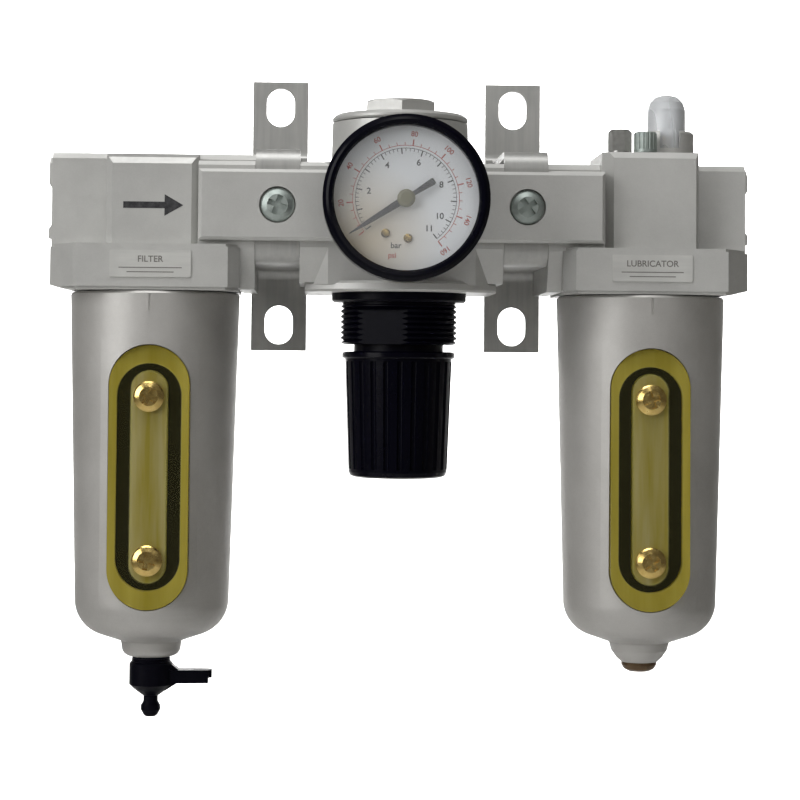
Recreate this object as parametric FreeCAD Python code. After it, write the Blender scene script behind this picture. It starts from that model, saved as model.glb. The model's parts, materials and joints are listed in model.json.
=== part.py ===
import FreeCAD, Part
import math
import os

from FreeCAD import Vector

# Filter regulator lubricator set, 3/8 inch size.
# Millimetres.  +X is the flow direction, -Y the front, +Z up.
# Origin: regulator axis, rear face of the wall brackets, height of the port centreline.

# ---- overall layout ----
PITCH = 69.0            # distance between neighbouring module axes
AXIS_Y = -27.0          # all three module axes stand this far in front of the wall
MODULE_HALF = 28.3      # module axis to joint face
PORT_END = 29.8         # module axis to the outer port face
BODY_REAR = -3.6
FILTER_TOP = 15.1       # port blocks of the two end modules
OIL_TOP = 13.4
FILTER_FRONT_TOP = 14.6
BODY_BOTTOM = -11.0     # block underside, where the bowl collar starts
COLLAR_BOTTOM = -23.7
COLLAR_FRONT = -50.4
PORT_BLOCK_FRONT = -35.0
RAISED_FRONT = -43.0
JOINT_FRONT = -46.0     # front of the joint flanges, under the clamp plates
JOINT_TOP = 12.3        # joint flanges of the filter and the regulator
OIL_JOINT_TOP = 10.5
JOINT_BOTTOM = -23.2

# ---- ports and passages ----
PORT_R = 7.5            # tapping size of the 3/8 inch pipe thread
PORT_LENGTH = 12.0
PASSAGE_R = 6.5

# ---- bowls ----
BOWL_TOP = -24.0
BOWL_TOP_R = 23.8
BOWL_LOW = -107.5
BOWL_LOW_R = 21.65
BOWL_CORNER_Z = -117.2
BOWL_CORNER_R = 21.4
BOWL_ROUNDING = 10.0
BOSS_TOP = -121.6
BOSS_R = 8.6
FILTER_BOSS_R = 7.9     # at the lower rim, before rounding
FILTER_BOSS_END = -125.9
FILTER_BOSS_ROUNDING = 2.4
OIL_BOSS_END = -127.2
OIL_BOSS_END_R = 5.2
BOWL_BORE_R = 19.4
COLLAR_BORE_R = 21.4
LIP_BORE_R = 20.1
LIP_TOP = -21.0
SOCKET_TOP = -12.5
CHAMBER_R = 14.0        # annular air chamber above the bowl
SPIGOT_R = 19.8
SPIGOT_TOP = -13.0
SPIGOT_BORE_R = 17.6
LUG_R = 21.1
LUG_COUNT = 3
LUG_ANGLE = 28.0

# ---- sight glass on each bowl ----
SIGHT_TOP = -38.6
SIGHT_BOTTOM = -111.3
SIGHT_HALF = 11.25
SIGHT_FLOOR = 17.4      # flat seat, measured from the bowl axis
SIGHT_PAD = 15.2        # back of the thickened wall behind the seat
GLASS_THICK = 3.0
GASKET_HALF = 8.85
GASKET_INNER = 5.15
GASKET_END_WIDTH = 1.9
GASKET_TOP = -43.8
GASKET_BOTTOM = -105.9
SIGHT_SCREW_Z = (-52.9, -97.6)
SIGHT_SCREW_HEAD_R = 4.2
SIGHT_SCREW_R = 2.0

# ---- drain cock ----
DRAIN_SLEEVE_R = 6.1
DRAIN_SLEEVE_TOP = -127.5
DRAIN_LEVER_TOP = -129.8
DRAIN_LEVER_BOTTOM = -133.5
DRAIN_LEVER_REACH = 17.1
DRAIN_END = -142.9

# ---- regulator ----
TOWER_R = 19.3
TOWER_TOP = 24.8
CAP_TOP = 27.3
HEX_FLATS = 19.0
HEX_TOP = 31.5
FLANGE_HALF = 26.8
FLANGE_FRONT = -51.0
FLANGE_BOW_R = 36.0
FLANGE_TOP = -20.6
FLANGE_BOTTOM = -23.5
BONNET_FLANGE_R = 19.1
BONNET_FLANGE_BOTTOM = -26.1
PANEL_THREAD_R = 16.5   # M33 panel thread
PANEL_THREAD_PITCH = 1.5
PANEL_THREAD_BOTTOM = -38.0
BONNET_NECK_R = 12.7
KNOB_RIM_R = 16.1
KNOB_TOP = -40.0
KNOB_RIM_BOTTOM = -42.0
KNOB_TOP_R = 15.25
KNOB_LOW_R = 14.05
KNOB_BOTTOM = -75.5
KNOB_FLUTES = 24
DIAPHRAGM_R = 18.0
PLATE_R = 12.6

# ---- pressure gauge ----
GAUGE_Z = 0.5
GAUGE_R = 22.25
GAUGE_WINDOW_R = 19.3
GAUGE_FRONT = -75.5
GAUGE_BACK = -53.5
DIAL_FACE = -70.0
POINTER_ANGLE = 212.5   # rest position, measured from +X towards +Z
POINTER_LENGTH = 17.8
POINTER_TAIL = 8.9

# ---- joints between modules ----
JOINT_X = PITCH / 2
SPACER_HALF = JOINT_X - MODULE_HALF
CLAMP_HALF_LENGTH = 21.6
CLAMP_HALF_HEIGHT = 9.8
CLAMP_FRONT = -49.6
CLAMP_SCREW_HEAD_R = 4.65
CLAMP_SCREW_R = 2.5

# ---- wall brackets ----
SHEET = 2.0
TAB_HALF = 8.15
TAB_END_Z = 39.8
LEG_Z = 16.0
LEG_HALF = 6.1
WEB_FRONT = -45.9
BEND_R = 5.0
WALL_BEND_R = 3.0
SLOT_Z = 32.2
SLOT_HALF_WIDTH = 4.15
SLOT_LENGTH = 11.4

# ---- lubricator top ----
HEAD_TOP = 16.4
DOME_X = 77.1
DOME_Y = -23.0
DOME_R = 5.45
DOME_TOP = 34.7
DOME_RING_R = 7.85
DOME_RING_TOP = 23.8
FILL_X = 63.4
FILL_Y = -25.0
FILL_FLATS = 6.0
FILL_TOP = 24.3
DRIP_X = 69.3
DRIP_Y = -34.5
DRIP_R = 3.3
DRIP_TOP = 22.7


# ------------------------------------------------------------------ helpers

def box(x0, x1, y0, y1, z0, z1):
    return Part.makeBox(x1 - x0, y1 - y0, z1 - z0, Vector(x0, y0, z0))


def cylinder(radius, z0, z1, x=0.0, y=AXIS_Y):
    return Part.makeCylinder(radius, z1 - z0, Vector(x, y, z0))


def cylinder_x(radius, x0, x1, y=AXIS_Y, z=0.0):
    return Part.makeCylinder(radius, x1 - x0, Vector(x0, y, z), Vector(1, 0, 0))


def cylinder_y(radius, y0, y1, x=0.0, z=0.0):
    return Part.makeCylinder(radius, y1 - y0, Vector(x, y0, z), Vector(0, 1, 0))


def prism_z(points, z0, z1):
    corners = [Vector(x, y, z0) for x, y in points]
    face = Part.Face(Part.makePolygon(corners + corners[:1]))
    return face.extrude(Vector(0, 0, z1 - z0))


def prism_x(points, x0, x1):
    corners = [Vector(x0, y, z) for y, z in points]
    face = Part.Face(Part.makePolygon(corners + corners[:1]))
    return face.extrude(Vector(x1 - x0, 0, 0))


def prism_y(points, y0, y1):
    corners = [Vector(x, y0, z) for x, z in points]
    face = Part.Face(Part.makePolygon(corners + corners[:1]))
    return face.extrude(Vector(0, y1 - y0, 0))


def turned(profile, x=0.0, y=AXIS_Y):
    """Solid of revolution about a vertical axis; profile is a list of (radius, z)."""
    corners = [Vector(x + radius, y, z) for radius, z in profile]
    face = Part.Face(Part.makePolygon(corners + corners[:1]))
    return face.revolve(Vector(x, y, 0), Vector(0, 0, 1), 360)


def turned_y(profile, x=0.0, z=0.0):
    """Solid of revolution about an axis that runs front to back; profile is (radius, y)."""
    corners = [Vector(x + radius, y, z) for radius, y in profile]
    face = Part.Face(Part.makePolygon(corners + corners[:1]))
    return face.revolve(Vector(x, 0, z), Vector(0, 1, 0), 360)


def ring(inner, outer, z0, z1, x=0.0, y=AXIS_Y):
    return cylinder(outer, z0, z1, x, y).cut(cylinder(inner, z0 - 1, z1 + 1, x, y))


def o_ring(mean_radius, section_radius, z, x=0.0, y=AXIS_Y):
    return Part.makeTorus(mean_radius, section_radius, Vector(x, y, z), Vector(0, 0, 1))


def hexagon(flats, z0, z1, x=0.0, y=AXIS_Y, first_corner=-90.0):
    radius = flats / math.sqrt(3)
    corners = []
    for side in range(6):
        angle = math.radians(first_corner + 60 * side)
        corners.append((x + radius * math.cos(angle), y + radius * math.sin(angle)))
    return prism_z(corners, z0, z1)


def hexagon_y(flats, y0, y1, x=0.0, z=0.0):
    radius = flats / math.sqrt(3)
    corners = []
    for side in range(6):
        angle = math.radians(60 * side)
        corners.append((x + radius * math.cos(angle), z + radius * math.sin(angle)))
    return prism_y(corners, y0, y1)


def rounded_slab_y(half_width, z0, z1, corner, y0, y1, x=0.0):
    """Upright slab with rounded corners, seen from the front as a rounded rectangle."""
    tall = box(x - half_width + corner, x + half_width - corner, y0, y1, z0, z1)
    wide = box(x - half_width, x + half_width, y0, y1, z0 + corner, z1 - corner)
    slab = tall.fuse(wide)
    for cx in (x - half_width + corner, x + half_width - corner):
        for cz in (z0 + corner, z1 - corner):
            slab = slab.fuse(cylinder_y(corner, y0, y1, cx, cz))
    return slab.removeSplitter()


def stadium_y(half_width, z0, z1, y0, y1, x=0.0):
    middle = box(x - half_width, x + half_width, y0, y1, z0 + half_width, z1 - half_width)
    low = cylinder_y(half_width, y0, y1, x, z0 + half_width)
    high = cylinder_y(half_width, y0, y1, x, z1 - half_width)
    return middle.fuse([low, high]).removeSplitter()


def rounded_rim(solid, radius, z, rounding):
    """Round the circular edge of the given radius and height."""
    rim = [edge for edge in solid.Edges if hasattr(edge.Curve, "Radius")
           and abs(edge.Curve.Radius - radius) < 0.01 and abs(edge.Curve.Center.z - z) < 0.01]
    return solid.makeFillet(rounding, rim)


def cut_each(shape, tools):
    """Cut the tools one after the other."""
    for tool in tools:
        shape = shape.cut(tool)
    return shape


def mirrored_x(shape):
    return shape.mirror(Vector(0, 0, 0), Vector(1, 0, 0))


def turned_about_z(shape, angle, x, y=AXIS_Y):
    copy = shape.copy()
    copy.rotate(Vector(x, y, 0), Vector(0, 0, 1), angle)
    return copy


def coil(radius, wire_radius, z0, z1, turns, x=0.0, y=AXIS_Y):
    """Round-wire compression spring; the wire centreline runs from z0 to z1."""
    path = Part.makeHelix((z1 - z0) / turns, z1 - z0, radius)
    wire = Part.Wire(path.Edges)
    start = Part.Circle(Vector(radius, 0, 0), Vector(0, 1, 0), wire_radius)
    section = Part.Wire(start.toShape())
    spring = wire.makePipeShell([section], True, True)
    spring.translate(Vector(x, y, z0))
    return spring


def cross_recess(head_y, x, z, width, depth, turn):
    """Phillips recess cut into a screw head that faces the front."""
    half = width / 2
    arm = width / 7
    flat = box(x - half, x + half, head_y - 1, head_y + depth, z - arm, z + arm)
    upright = box(x - arm, x + arm, head_y - 1, head_y + depth, z - half, z + half)
    cross = flat.fuse(upright)
    cross.rotate(Vector(x, 0, z), Vector(0, 1, 0), turn)
    return cross


def pan_screw(head_r, shank_r, head_face, seat, tip, x, z, turn):
    """Pan head screw: head from head_face back to seat, shank from seat back to tip."""
    crown = head_face + 0.35 * (seat - head_face)
    profile = [(0, head_face), (head_r * 0.62, head_face + 0.12), (head_r * 0.9, crown - 0.1),
               (head_r, crown + 0.3), (head_r, seat), (shank_r, seat), (shank_r, tip - 0.6),
               (shank_r - 0.6, tip), (0, tip)]
    screw = turned_y(profile, x, z)
    return screw.cut(cross_recess(head_face, x, z, head_r * 1.15, 1.3, turn))


# ------------------------------------------------------------------ filter and lubricator body

def end_module_block(x, top, joint_top):
    """Die-cast block shared by the two end modules, port side to the left."""
    left = x - PORT_END
    right = x + MODULE_HALF
    rear = BODY_REAR
    side = [(rear, BODY_BOTTOM - 1), (rear, top - 1.5), (rear - 1.5, top),
            (PORT_BLOCK_FRONT + 1.6, top), (PORT_BLOCK_FRONT, top - 1.6),
            (PORT_BLOCK_FRONT, BODY_BOTTOM - 1)]
    block = prism_x(side, left + 1.0, right)
    nose = [(rear - 2, -9.0), (rear - 2, top - 3), (rear - 4, top - 1.2),
            (PORT_BLOCK_FRONT + 4, top - 1.2), (PORT_BLOCK_FRONT + 2, top - 3),
            (PORT_BLOCK_FRONT + 2, -9.0)]
    block = block.fuse(prism_x(nose, left, left + 2.0))
    joint_side = [(rear, JOINT_BOTTOM), (rear, joint_top), (JOINT_FRONT + 1.2, joint_top),
                  (JOINT_FRONT, joint_top - 1.2), (JOINT_FRONT, BODY_BOTTOM - 1),
                  (JOINT_FRONT + 4, JOINT_BOTTOM)]
    flange = prism_x(joint_side, right - 4.0, right)
    shoulder = prism_x([(rear, BODY_BOTTOM - 1), (rear, joint_top), (JOINT_FRONT + 1.2, joint_top),
                        (JOINT_FRONT, joint_top - 1.2), (JOINT_FRONT, BODY_BOTTOM - 1)],
                       x + 12.6, right - 3.0)
    return block.fuse([flange, shoulder])


def bowl_collar(x):
    """Eight-sided collar that holds the bowl, with a wide chamfer on the port side."""
    left = x - PORT_END + 1.3
    right = x + 24.3
    outline = [(left, BODY_REAR - 8), (left + 8, BODY_REAR), (right - 2, BODY_REAR),
               (right, BODY_REAR - 2), (right, COLLAR_FRONT + 4.0), (x + 21.1, COLLAR_FRONT),
               (x - 21.1, COLLAR_FRONT), (left, COLLAR_FRONT + 10.5)]
    middle = prism_z(outline, COLLAR_BOTTOM + 0.8, BODY_BOTTOM - 0.8)
    centre = Vector(x, AXIS_Y, 0)
    inset = []
    for px, py in outline:
        inset.append((centre.x + (px - centre.x) * 0.972, centre.y + (py - centre.y) * 0.972))
    whole = prism_z(inset, COLLAR_BOTTOM, BODY_BOTTOM)
    draft = prism_y([(left - 1, COLLAR_BOTTOM + 1.6), (left + 6.5, COLLAR_BOTTOM - 0.1),
                     (left + 6.5, COLLAR_BOTTOM - 1), (left - 1, COLLAR_BOTTOM - 1)], -60, 0)
    return middle.fuse(whole).cut(draft)


def bowl_socket(x):
    """Space for the bowl spigot: bore, holding lip and three entry slots."""
    space = cylinder(COLLAR_BORE_R, LIP_TOP, SOCKET_TOP, x)
    space = space.fuse(cylinder(LIP_BORE_R, COLLAR_BOTTOM - 1, LIP_TOP + 1, x))
    for lug in range(LUG_COUNT):
        slot = lug_sector(x, LIP_BORE_R - 1, COLLAR_BORE_R, LUG_ANGLE + 8, COLLAR_BOTTOM - 1, LIP_TOP + 1)
        space = space.fuse(turned_about_z(slot, 45 + lug * 360 / LUG_COUNT, x))
    return space


def lug_sector(x, inner, outer, angle, z0, z1):
    """Piece of a ring, centred on the +X side of the axis."""
    half = math.radians(angle / 2)
    reach = outer * 1.6
    wedge = prism_z([(x, AXIS_Y), (x + reach * math.cos(half), AXIS_Y - reach * math.sin(half)),
                     (x + reach * math.cos(half), AXIS_Y + reach * math.sin(half))], z0, z1)
    return ring(inner, outer, z0, z1, x).common(wedge)


def end_module_passages(x):
    """Pipe thread bore, flow passages and bowl socket of an end module."""
    port = cylinder_x(PORT_R, x - PORT_END - 1, x - PORT_END + PORT_LENGTH)
    inlet = cylinder_x(PASSAGE_R, x - PORT_END, x - 12.5)
    down = cylinder(4.0, BODY_BOTTOM, 0, x - 13.5)
    outlet = cylinder_x(PASSAGE_R, x, x + MODULE_HALF + 1)
    centre = cylinder(5.0, BODY_BOTTOM - 4, 0, x)
    chamber = ring(9.5, CHAMBER_R, SOCKET_TOP - 1, BODY_BOTTOM + 4.0, x)
    return port.fuse([inlet, down, outlet, centre, chamber])


def port_thread_relief(x):
    """Countersink at the mouth of the pipe thread."""
    start = Vector(x - PORT_END, AXIS_Y, 0)
    return Part.makeCone(PORT_R + 1.2, PORT_R, 1.2, start, Vector(1, 0, 0))


def make_end_body(x, top, joint_top, front_block):
    body = end_module_block(x, top, joint_top).fuse([bowl_collar(x), front_block])
    boss = cylinder(9.5, BODY_BOTTOM - 3.0, SOCKET_TOP + 0.5, x)
    body = body.cut(bowl_socket(x)).fuse(boss)
    body = body.cut(end_module_passages(x)).cut(port_thread_relief(x))
    return body


def filter_front_block():
    x = -PITCH
    outline = [(x - 13.0, -20.0), (x - 13.0, RAISED_FRONT + 2.0), (x - 11.2, RAISED_FRONT),
               (x + 10.6, RAISED_FRONT), (x + 12.4, RAISED_FRONT + 2.0), (x + 12.4, -20.0)]
    top = FILTER_FRONT_TOP
    side = [(-20.0, BODY_BOTTOM - 1), (-20.0, top), (RAISED_FRONT + 4.2, top),
            (RAISED_FRONT + 1.4, top - 1.2), (RAISED_FRONT, top - 3.0),
            (RAISED_FRONT, BODY_BOTTOM - 1)]
    block = prism_z(outline, BODY_BOTTOM - 1, top)
    return block.common(prism_x(side, x - 20, x + 20))


def make_filter_body():
    x = -PITCH
    body = make_end_body(x, FILTER_TOP, JOINT_TOP, filter_front_block())
    return body.cut(cylinder(2.55, -5.0, 11.0, x))


def lubricator_head_block():
    """Raised block that carries the sight dome, drip screw and fill plug; seen mirrored."""
    x = -PITCH
    outline = [(x - 14.4, -11.0), (x - 14.4, RAISED_FRONT + 2.0), (x - 13.4, RAISED_FRONT),
               (x + 9.7, RAISED_FRONT), (x + 12.6, RAISED_FRONT + 4.0), (x + 12.6, -11.0)]
    side = [(-11.0, BODY_BOTTOM - 1), (-11.0, HEAD_TOP - 1.2), (-12.2, HEAD_TOP),
            (RAISED_FRONT + 1.8, HEAD_TOP), (RAISED_FRONT, HEAD_TOP - 1.8),
            (RAISED_FRONT, BODY_BOTTOM - 1)]
    block = prism_z(outline, BODY_BOTTOM - 1, HEAD_TOP)
    return block.common(prism_x(side, x - 20, x + 20))


def make_lubricator_body():
    body = make_end_body(-PITCH, OIL_TOP, OIL_JOINT_TOP, lubricator_head_block())
    body = mirrored_x(body)
    dome_seat = cylinder(5.0, 9.0, HEAD_TOP + 1, DOME_X, DOME_Y)
    drip_hole = cylinder(2.05, 7.8, HEAD_TOP + 1, DRIP_X, DRIP_Y)
    fill_hole = cylinder(2.05, 7.8, HEAD_TOP + 1, FILL_X, FILL_Y)
    return body.cut(dome_seat.fuse([drip_hole, fill_hole]))


# ------------------------------------------------------------------ filter inside

def make_filter_deflector():
    """Swirl plate: a hub and a rim joined by a ring cut with slanted slots."""
    x = -PITCH
    top = BODY_BOTTOM - 3.0
    plate = ring(5.0, 16.6, top - 3.0, top, x).fuse(ring(5.0, 9.0, top - 8.0, top, x))
    for vane in range(12):
        slot = box(x + 11.0, x + 15.4, AXIS_Y - 1.0, AXIS_Y + 1.0, top - 5.0, top + 1.0)
        slot.rotate(Vector(x + 13.2, AXIS_Y, top - 1.5), Vector(1, 0, 0), 28)
        plate = plate.cut(turned_about_z(slot, vane * 30, x))
    return plate


def make_filter_element():
    x = -PITCH
    top = BODY_BOTTOM - 11.0
    element = ring(8.4, 13.0, top - 52.0, top, x)
    for rib in range(17):
        groove_z = top - 2.5 - rib * 3.0
        element = element.cut(ring(12.6, 14.0, groove_z - 0.6, groove_z, x))
    return element


def make_filter_baffle():
    x = -PITCH
    top = BODY_BOTTOM - 63.0
    profile = [(2.6, top), (13.2, top), (13.6, top - 1.2), (14.6, top - 4.0), (13.8, top - 4.3),
               (12.4, top - 2.2), (5.0, top - 2.2), (5.0, top - 4.2), (2.6, top - 4.2)]
    return turned(profile, x)


def make_filter_stud():
    x = -PITCH
    baffle_low = BODY_BOTTOM - 63.0 - 4.2
    stud = cylinder(2.5, baffle_low - 6.0, 10.6, x)
    nut = hexagon(8.0, baffle_low - 4.0, baffle_low, x)
    for groove in range(8):
        groove_z = 9.6 - groove * 0.8
        stud = stud.cut(ring(2.2, 3.0, groove_z - 0.35, groove_z, x))
    return stud.fuse(nut)


# ------------------------------------------------------------------ bowls and sight glasses

def bowl_outside():
    """Outer form of a bowl from the shoulder down to the boss, before the corner is rounded."""
    return [(0, BOWL_TOP), (BOWL_TOP_R - 0.5, BOWL_TOP), (BOWL_TOP_R, BOWL_TOP - 0.6),
            (BOWL_LOW_R, BOWL_LOW), (BOWL_CORNER_R, BOWL_CORNER_Z), (BOSS_R, BOSS_TOP)]


def bowl_inside(x):
    low = BOWL_LOW
    profile = [(0, SPIGOT_TOP + 1), (SPIGOT_BORE_R, SPIGOT_TOP + 1), (SPIGOT_BORE_R, BOWL_TOP - 2.0),
               (BOWL_BORE_R, BOWL_TOP - 6.0), (BOWL_BORE_R - 1.0, low), (BOWL_BORE_R - 4.0, low - 6.0),
               (BOWL_BORE_R - 10.0, low - 9.6), (5.0, low - 10.6), (0, low - 10.6)]
    return turned(profile, x)


def make_bowl(x, outer, thread_r):
    """Hollow out a bowl from its outer form, and add the spigot, lugs and sight glass pad."""
    outer = rounded_rim(outer, BOWL_CORNER_R, BOWL_CORNER_Z, BOWL_ROUNDING)
    outer = outer.fuse(cylinder(SPIGOT_R, BOWL_TOP - 2, SPIGOT_TOP, x))
    for lug in range(LUG_COUNT):
        piece = lug_sector(x, SPIGOT_R - 1, LUG_R, LUG_ANGLE, LIP_TOP + 0.2, LIP_TOP + 2.8)
        outer = outer.fuse(turned_about_z(piece, lug * 360 / LUG_COUNT, x))
    pad = box(x - 13.4, x + 13.4, AXIS_Y - 30, AXIS_Y - SIGHT_PAD, SIGHT_BOTTOM - 1.6, SIGHT_TOP + 1.6)
    bowl = outer.cut(bowl_inside(x)).fuse(outer.common(pad))
    return bowl.cut(sight_cuts(x)).cut(bowl_small_cuts(x, thread_r))


def sight_cuts(x):
    """Flat seat for the glass, the slot through the wall and the two screw holes."""
    seat = stadium_y(SIGHT_HALF, SIGHT_BOTTOM, SIGHT_TOP, AXIS_Y - 30, AXIS_Y - SIGHT_FLOOR, x)
    slot = stadium_y(3.4, SIGHT_SCREW_Z[1] + 4.5, SIGHT_SCREW_Z[0] - 4.5,
                     AXIS_Y - 20, AXIS_Y - SIGHT_PAD + 1, x)
    cuts = seat.fuse(slot)
    for z in SIGHT_SCREW_Z:
        cuts = cuts.fuse(cylinder_y(SIGHT_SCREW_R + 0.05, AXIS_Y - 20, AXIS_Y - SIGHT_PAD + 1, x, z))
    return cuts


def bowl_small_cuts(x, thread_r):
    """Seal groove, drain thread and the alignment mark under the collar."""
    groove = ring(SPIGOT_R - 0.5, SPIGOT_R + 2, -17.2, -14.8, x)
    drain = cylinder(thread_r, OIL_BOSS_END - 1, BOWL_LOW - 9.0, x)
    mark = box(x - 0.3, x + 0.3, AXIS_Y - 24.0, AXIS_Y - BOWL_TOP_R + 0.4, -29.3, -24.8)
    return groove.fuse([drain, mark])


def make_filter_bowl():
    end = [(FILTER_BOSS_R, FILTER_BOSS_END), (0, FILTER_BOSS_END)]
    outer = turned(bowl_outside() + end, -PITCH)
    outer = rounded_rim(outer, FILTER_BOSS_R, FILTER_BOSS_END, FILTER_BOSS_ROUNDING)
    return make_bowl(-PITCH, outer, 3.3)


def make_lubricator_bowl():
    end = [(7.9, OIL_BOSS_END + 3.2), (6.5, OIL_BOSS_END + 1.2),
           (OIL_BOSS_END_R, OIL_BOSS_END), (0, OIL_BOSS_END)]
    return make_bowl(PITCH, turned(bowl_outside() + end, PITCH), 3.3)


def make_bowl_seal(x):
    return o_ring(SPIGOT_R + 0.55, 0.95, -16.0, x)


def make_sight_gasket(x):
    back = AXIS_Y - SIGHT_FLOOR
    outer = stadium_y(GASKET_HALF, GASKET_BOTTOM, GASKET_TOP, back - 0.9, back, x)
    hole = stadium_y(GASKET_INNER, GASKET_BOTTOM + GASKET_END_WIDTH, GASKET_TOP - GASKET_END_WIDTH,
                     back - 2, back + 1, x)
    return outer.cut(hole)


def make_sight_glass(x):
    back = AXIS_Y - SIGHT_FLOOR - 0.9
    glass = stadium_y(SIGHT_HALF - 0.25, SIGHT_BOTTOM + 0.25, SIGHT_TOP - 0.25, back - GLASS_THICK, back, x)
    for z in SIGHT_SCREW_Z:
        glass = glass.cut(cylinder_y(SIGHT_SCREW_R + 0.4, back - 9, back + 1, x, z))
    return glass


def make_sight_screws(x, turns):
    seat = AXIS_Y - SIGHT_FLOOR - 0.9 - GLASS_THICK
    screws = []
    for z, turn in zip(SIGHT_SCREW_Z, turns):
        screws.append(pan_screw(SIGHT_SCREW_HEAD_R, SIGHT_SCREW_R, seat - 2.3, seat,
                                AXIS_Y - SIGHT_PAD - 0.3, x, z, turn))
    return Part.makeCompound(screws)


# ------------------------------------------------------------------ drain cock and drain plug

def make_drain_cock_body():
    """Threaded stem with a flange; the turning sleeve hangs on its lower end."""
    flange_top = FILTER_BOSS_END - 0.7
    profile = [(1.0, -114.5), (3.25, -114.5), (3.25, flange_top), (5.4, flange_top),
               (5.4, DRAIN_SLEEVE_TOP + 0.1), (2.6, DRAIN_SLEEVE_TOP + 0.1),
               (2.6, DRAIN_LEVER_BOTTOM - 1.0), (1.0, DRAIN_LEVER_BOTTOM - 1.0)]
    return turned(profile, -PITCH)


def make_drain_seal():
    """Flat washer between the bowl end and the cock flange."""
    return ring(3.5, 5.2, FILTER_BOSS_END - 0.65, FILTER_BOSS_END - 0.05, -PITCH)


def drain_arm(x):
    """Finger lever with a split, stepped tip and a gusset at its root."""
    tip = x + DRAIN_LEVER_REACH
    low = DRAIN_LEVER_BOTTOM
    arm = prism_z([(x + 4.0, AXIS_Y - 3.0), (tip - 1.2, AXIS_Y - 2.1), (tip, AXIS_Y - 1.2),
                   (tip, AXIS_Y + 1.2), (tip - 1.2, AXIS_Y + 2.1), (x + 4.0, AXIS_Y + 3.0)],
                  low, DRAIN_LEVER_TOP)
    step = box(tip - 1.0, tip + 1, AXIS_Y - 3, AXIS_Y + 3, low - 1, low + 1.5)
    grip_slot = box(tip - 5.2, tip + 1, AXIS_Y - 0.45, AXIS_Y + 0.45, low - 1, DRAIN_LEVER_TOP + 1)
    lower = prism_y([(x + 4.0, low - 2.2), (x + 7.6, low + 0.1), (x + 4.0, low + 0.1)],
                    AXIS_Y - 1.8, AXIS_Y + 1.8)
    upper = prism_y([(x + 4.0, DRAIN_LEVER_TOP - 0.1), (x + 8.0, DRAIN_LEVER_TOP - 0.1),
                     (x + 5.8, DRAIN_LEVER_TOP + 1.6), (x + 4.0, DRAIN_LEVER_TOP + 1.6)],
                    AXIS_Y - 1.8, AXIS_Y + 1.8)
    return arm.cut(step).cut(grip_slot).fuse([lower, upper])


def make_drain_cock_lever():
    """Turning sleeve, finger lever and hose nipple in one moulding."""
    x = -PITCH
    low = DRAIN_LEVER_BOTTOM
    profile = [(2.65, DRAIN_SLEEVE_TOP), (DRAIN_SLEEVE_R - 0.5, DRAIN_SLEEVE_TOP),
               (DRAIN_SLEEVE_R, DRAIN_SLEEVE_TOP - 0.6), (DRAIN_SLEEVE_R, low - 0.4),
               (4.7, low - 1.7), (2.6, low - 3.3), (2.05, low - 3.6), (2.05, DRAIN_END + 4.3),
               (2.75, DRAIN_END + 3.1), (2.75, DRAIN_END + 1.9), (2.0, DRAIN_END + 0.5), (1.4, DRAIN_END),
               (0.9, DRAIN_END), (0.9, low - 1.6), (2.65, low - 1.6)]
    return turned(profile, x).fuse(drain_arm(x))


def make_drain_plug():
    """Screw plug with a domed head and a key socket."""
    top = OIL_BOSS_END
    head = turned([(0, top), (5.0, top), (5.0, top - 0.9), (4.3, top - 2.0),
                   (3.0, top - 2.7), (0, top - 2.7)], PITCH)
    stem = cylinder(3.25, top - 0.5, -116.5, PITCH)
    return head.fuse(stem).cut(hexagon(3.0, top - 4, top - 0.9, PITCH))


# ------------------------------------------------------------------ lubricator inside and top

def make_siphon_tube():
    """Pick-up tube with a plug that fills the centre bore of the body."""
    profile = [(1.3, -7.0), (4.95, -7.0), (4.95, -15.5), (2.2, -17.0), (2.2, -111.0), (1.3, -111.0)]
    return turned(profile, PITCH)


def make_oil_strainer():
    """Porous cup pressed on the lower end of the siphon tube."""
    x = PITCH
    profile = [(2.3, -104.0), (3.4, -104.0), (4.2, -105.5), (4.2, -113.0), (3.6, -113.8), (0, -113.8),
               (0, -112.4), (2.3, -112.4)]
    cup = turned(profile, x)
    for band in range(4):
        z = -106.6 - band * 1.7
        cup = cup.cut(ring(3.9, 5.0, z - 0.6, z, x))
    return cup


def make_flow_damper():
    """Flexible flap in the straight-through passage that makes the oil dose follow the flow."""
    x = PITCH
    frame = cylinder_x(PASSAGE_R - 0.3, x - 20.0, x - 17.0).cut(cylinder_x(4.9, x - 21.0, x - 16.0))
    flap = box(x - 19.0, x - 18.2, AXIS_Y - 4.0, AXIS_Y + 4.0, -2.6, 5.4)
    return frame.fuse(flap.common(cylinder_x(PASSAGE_R - 0.4, x - 21.0, x - 16.0)))


def make_sight_dome():
    """Clear domed cap above the drip nozzle."""
    profile = [(DOME_R - 1.3, 10.6), (DOME_R - 0.9, 10.6), (DOME_R - 0.9, HEAD_TOP + 0.3),
               (DOME_R + 0.9, HEAD_TOP + 0.3), (DOME_R + 0.9, HEAD_TOP + 1.9), (DOME_R, HEAD_TOP + 1.9),
               (DOME_R, DOME_TOP - 4.4), (DOME_R - 0.7, DOME_TOP - 2.2), (DOME_R - 2.3, DOME_TOP - 0.6),
               (1.2, DOME_TOP), (0, DOME_TOP), (0, DOME_TOP - 1.5), (1.6, DOME_TOP - 1.7),
               (DOME_R - 2.0, DOME_TOP - 3.0), (DOME_R - 1.3, DOME_TOP - 5.0)]
    return turned(profile, DOME_X, DOME_Y)


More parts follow.
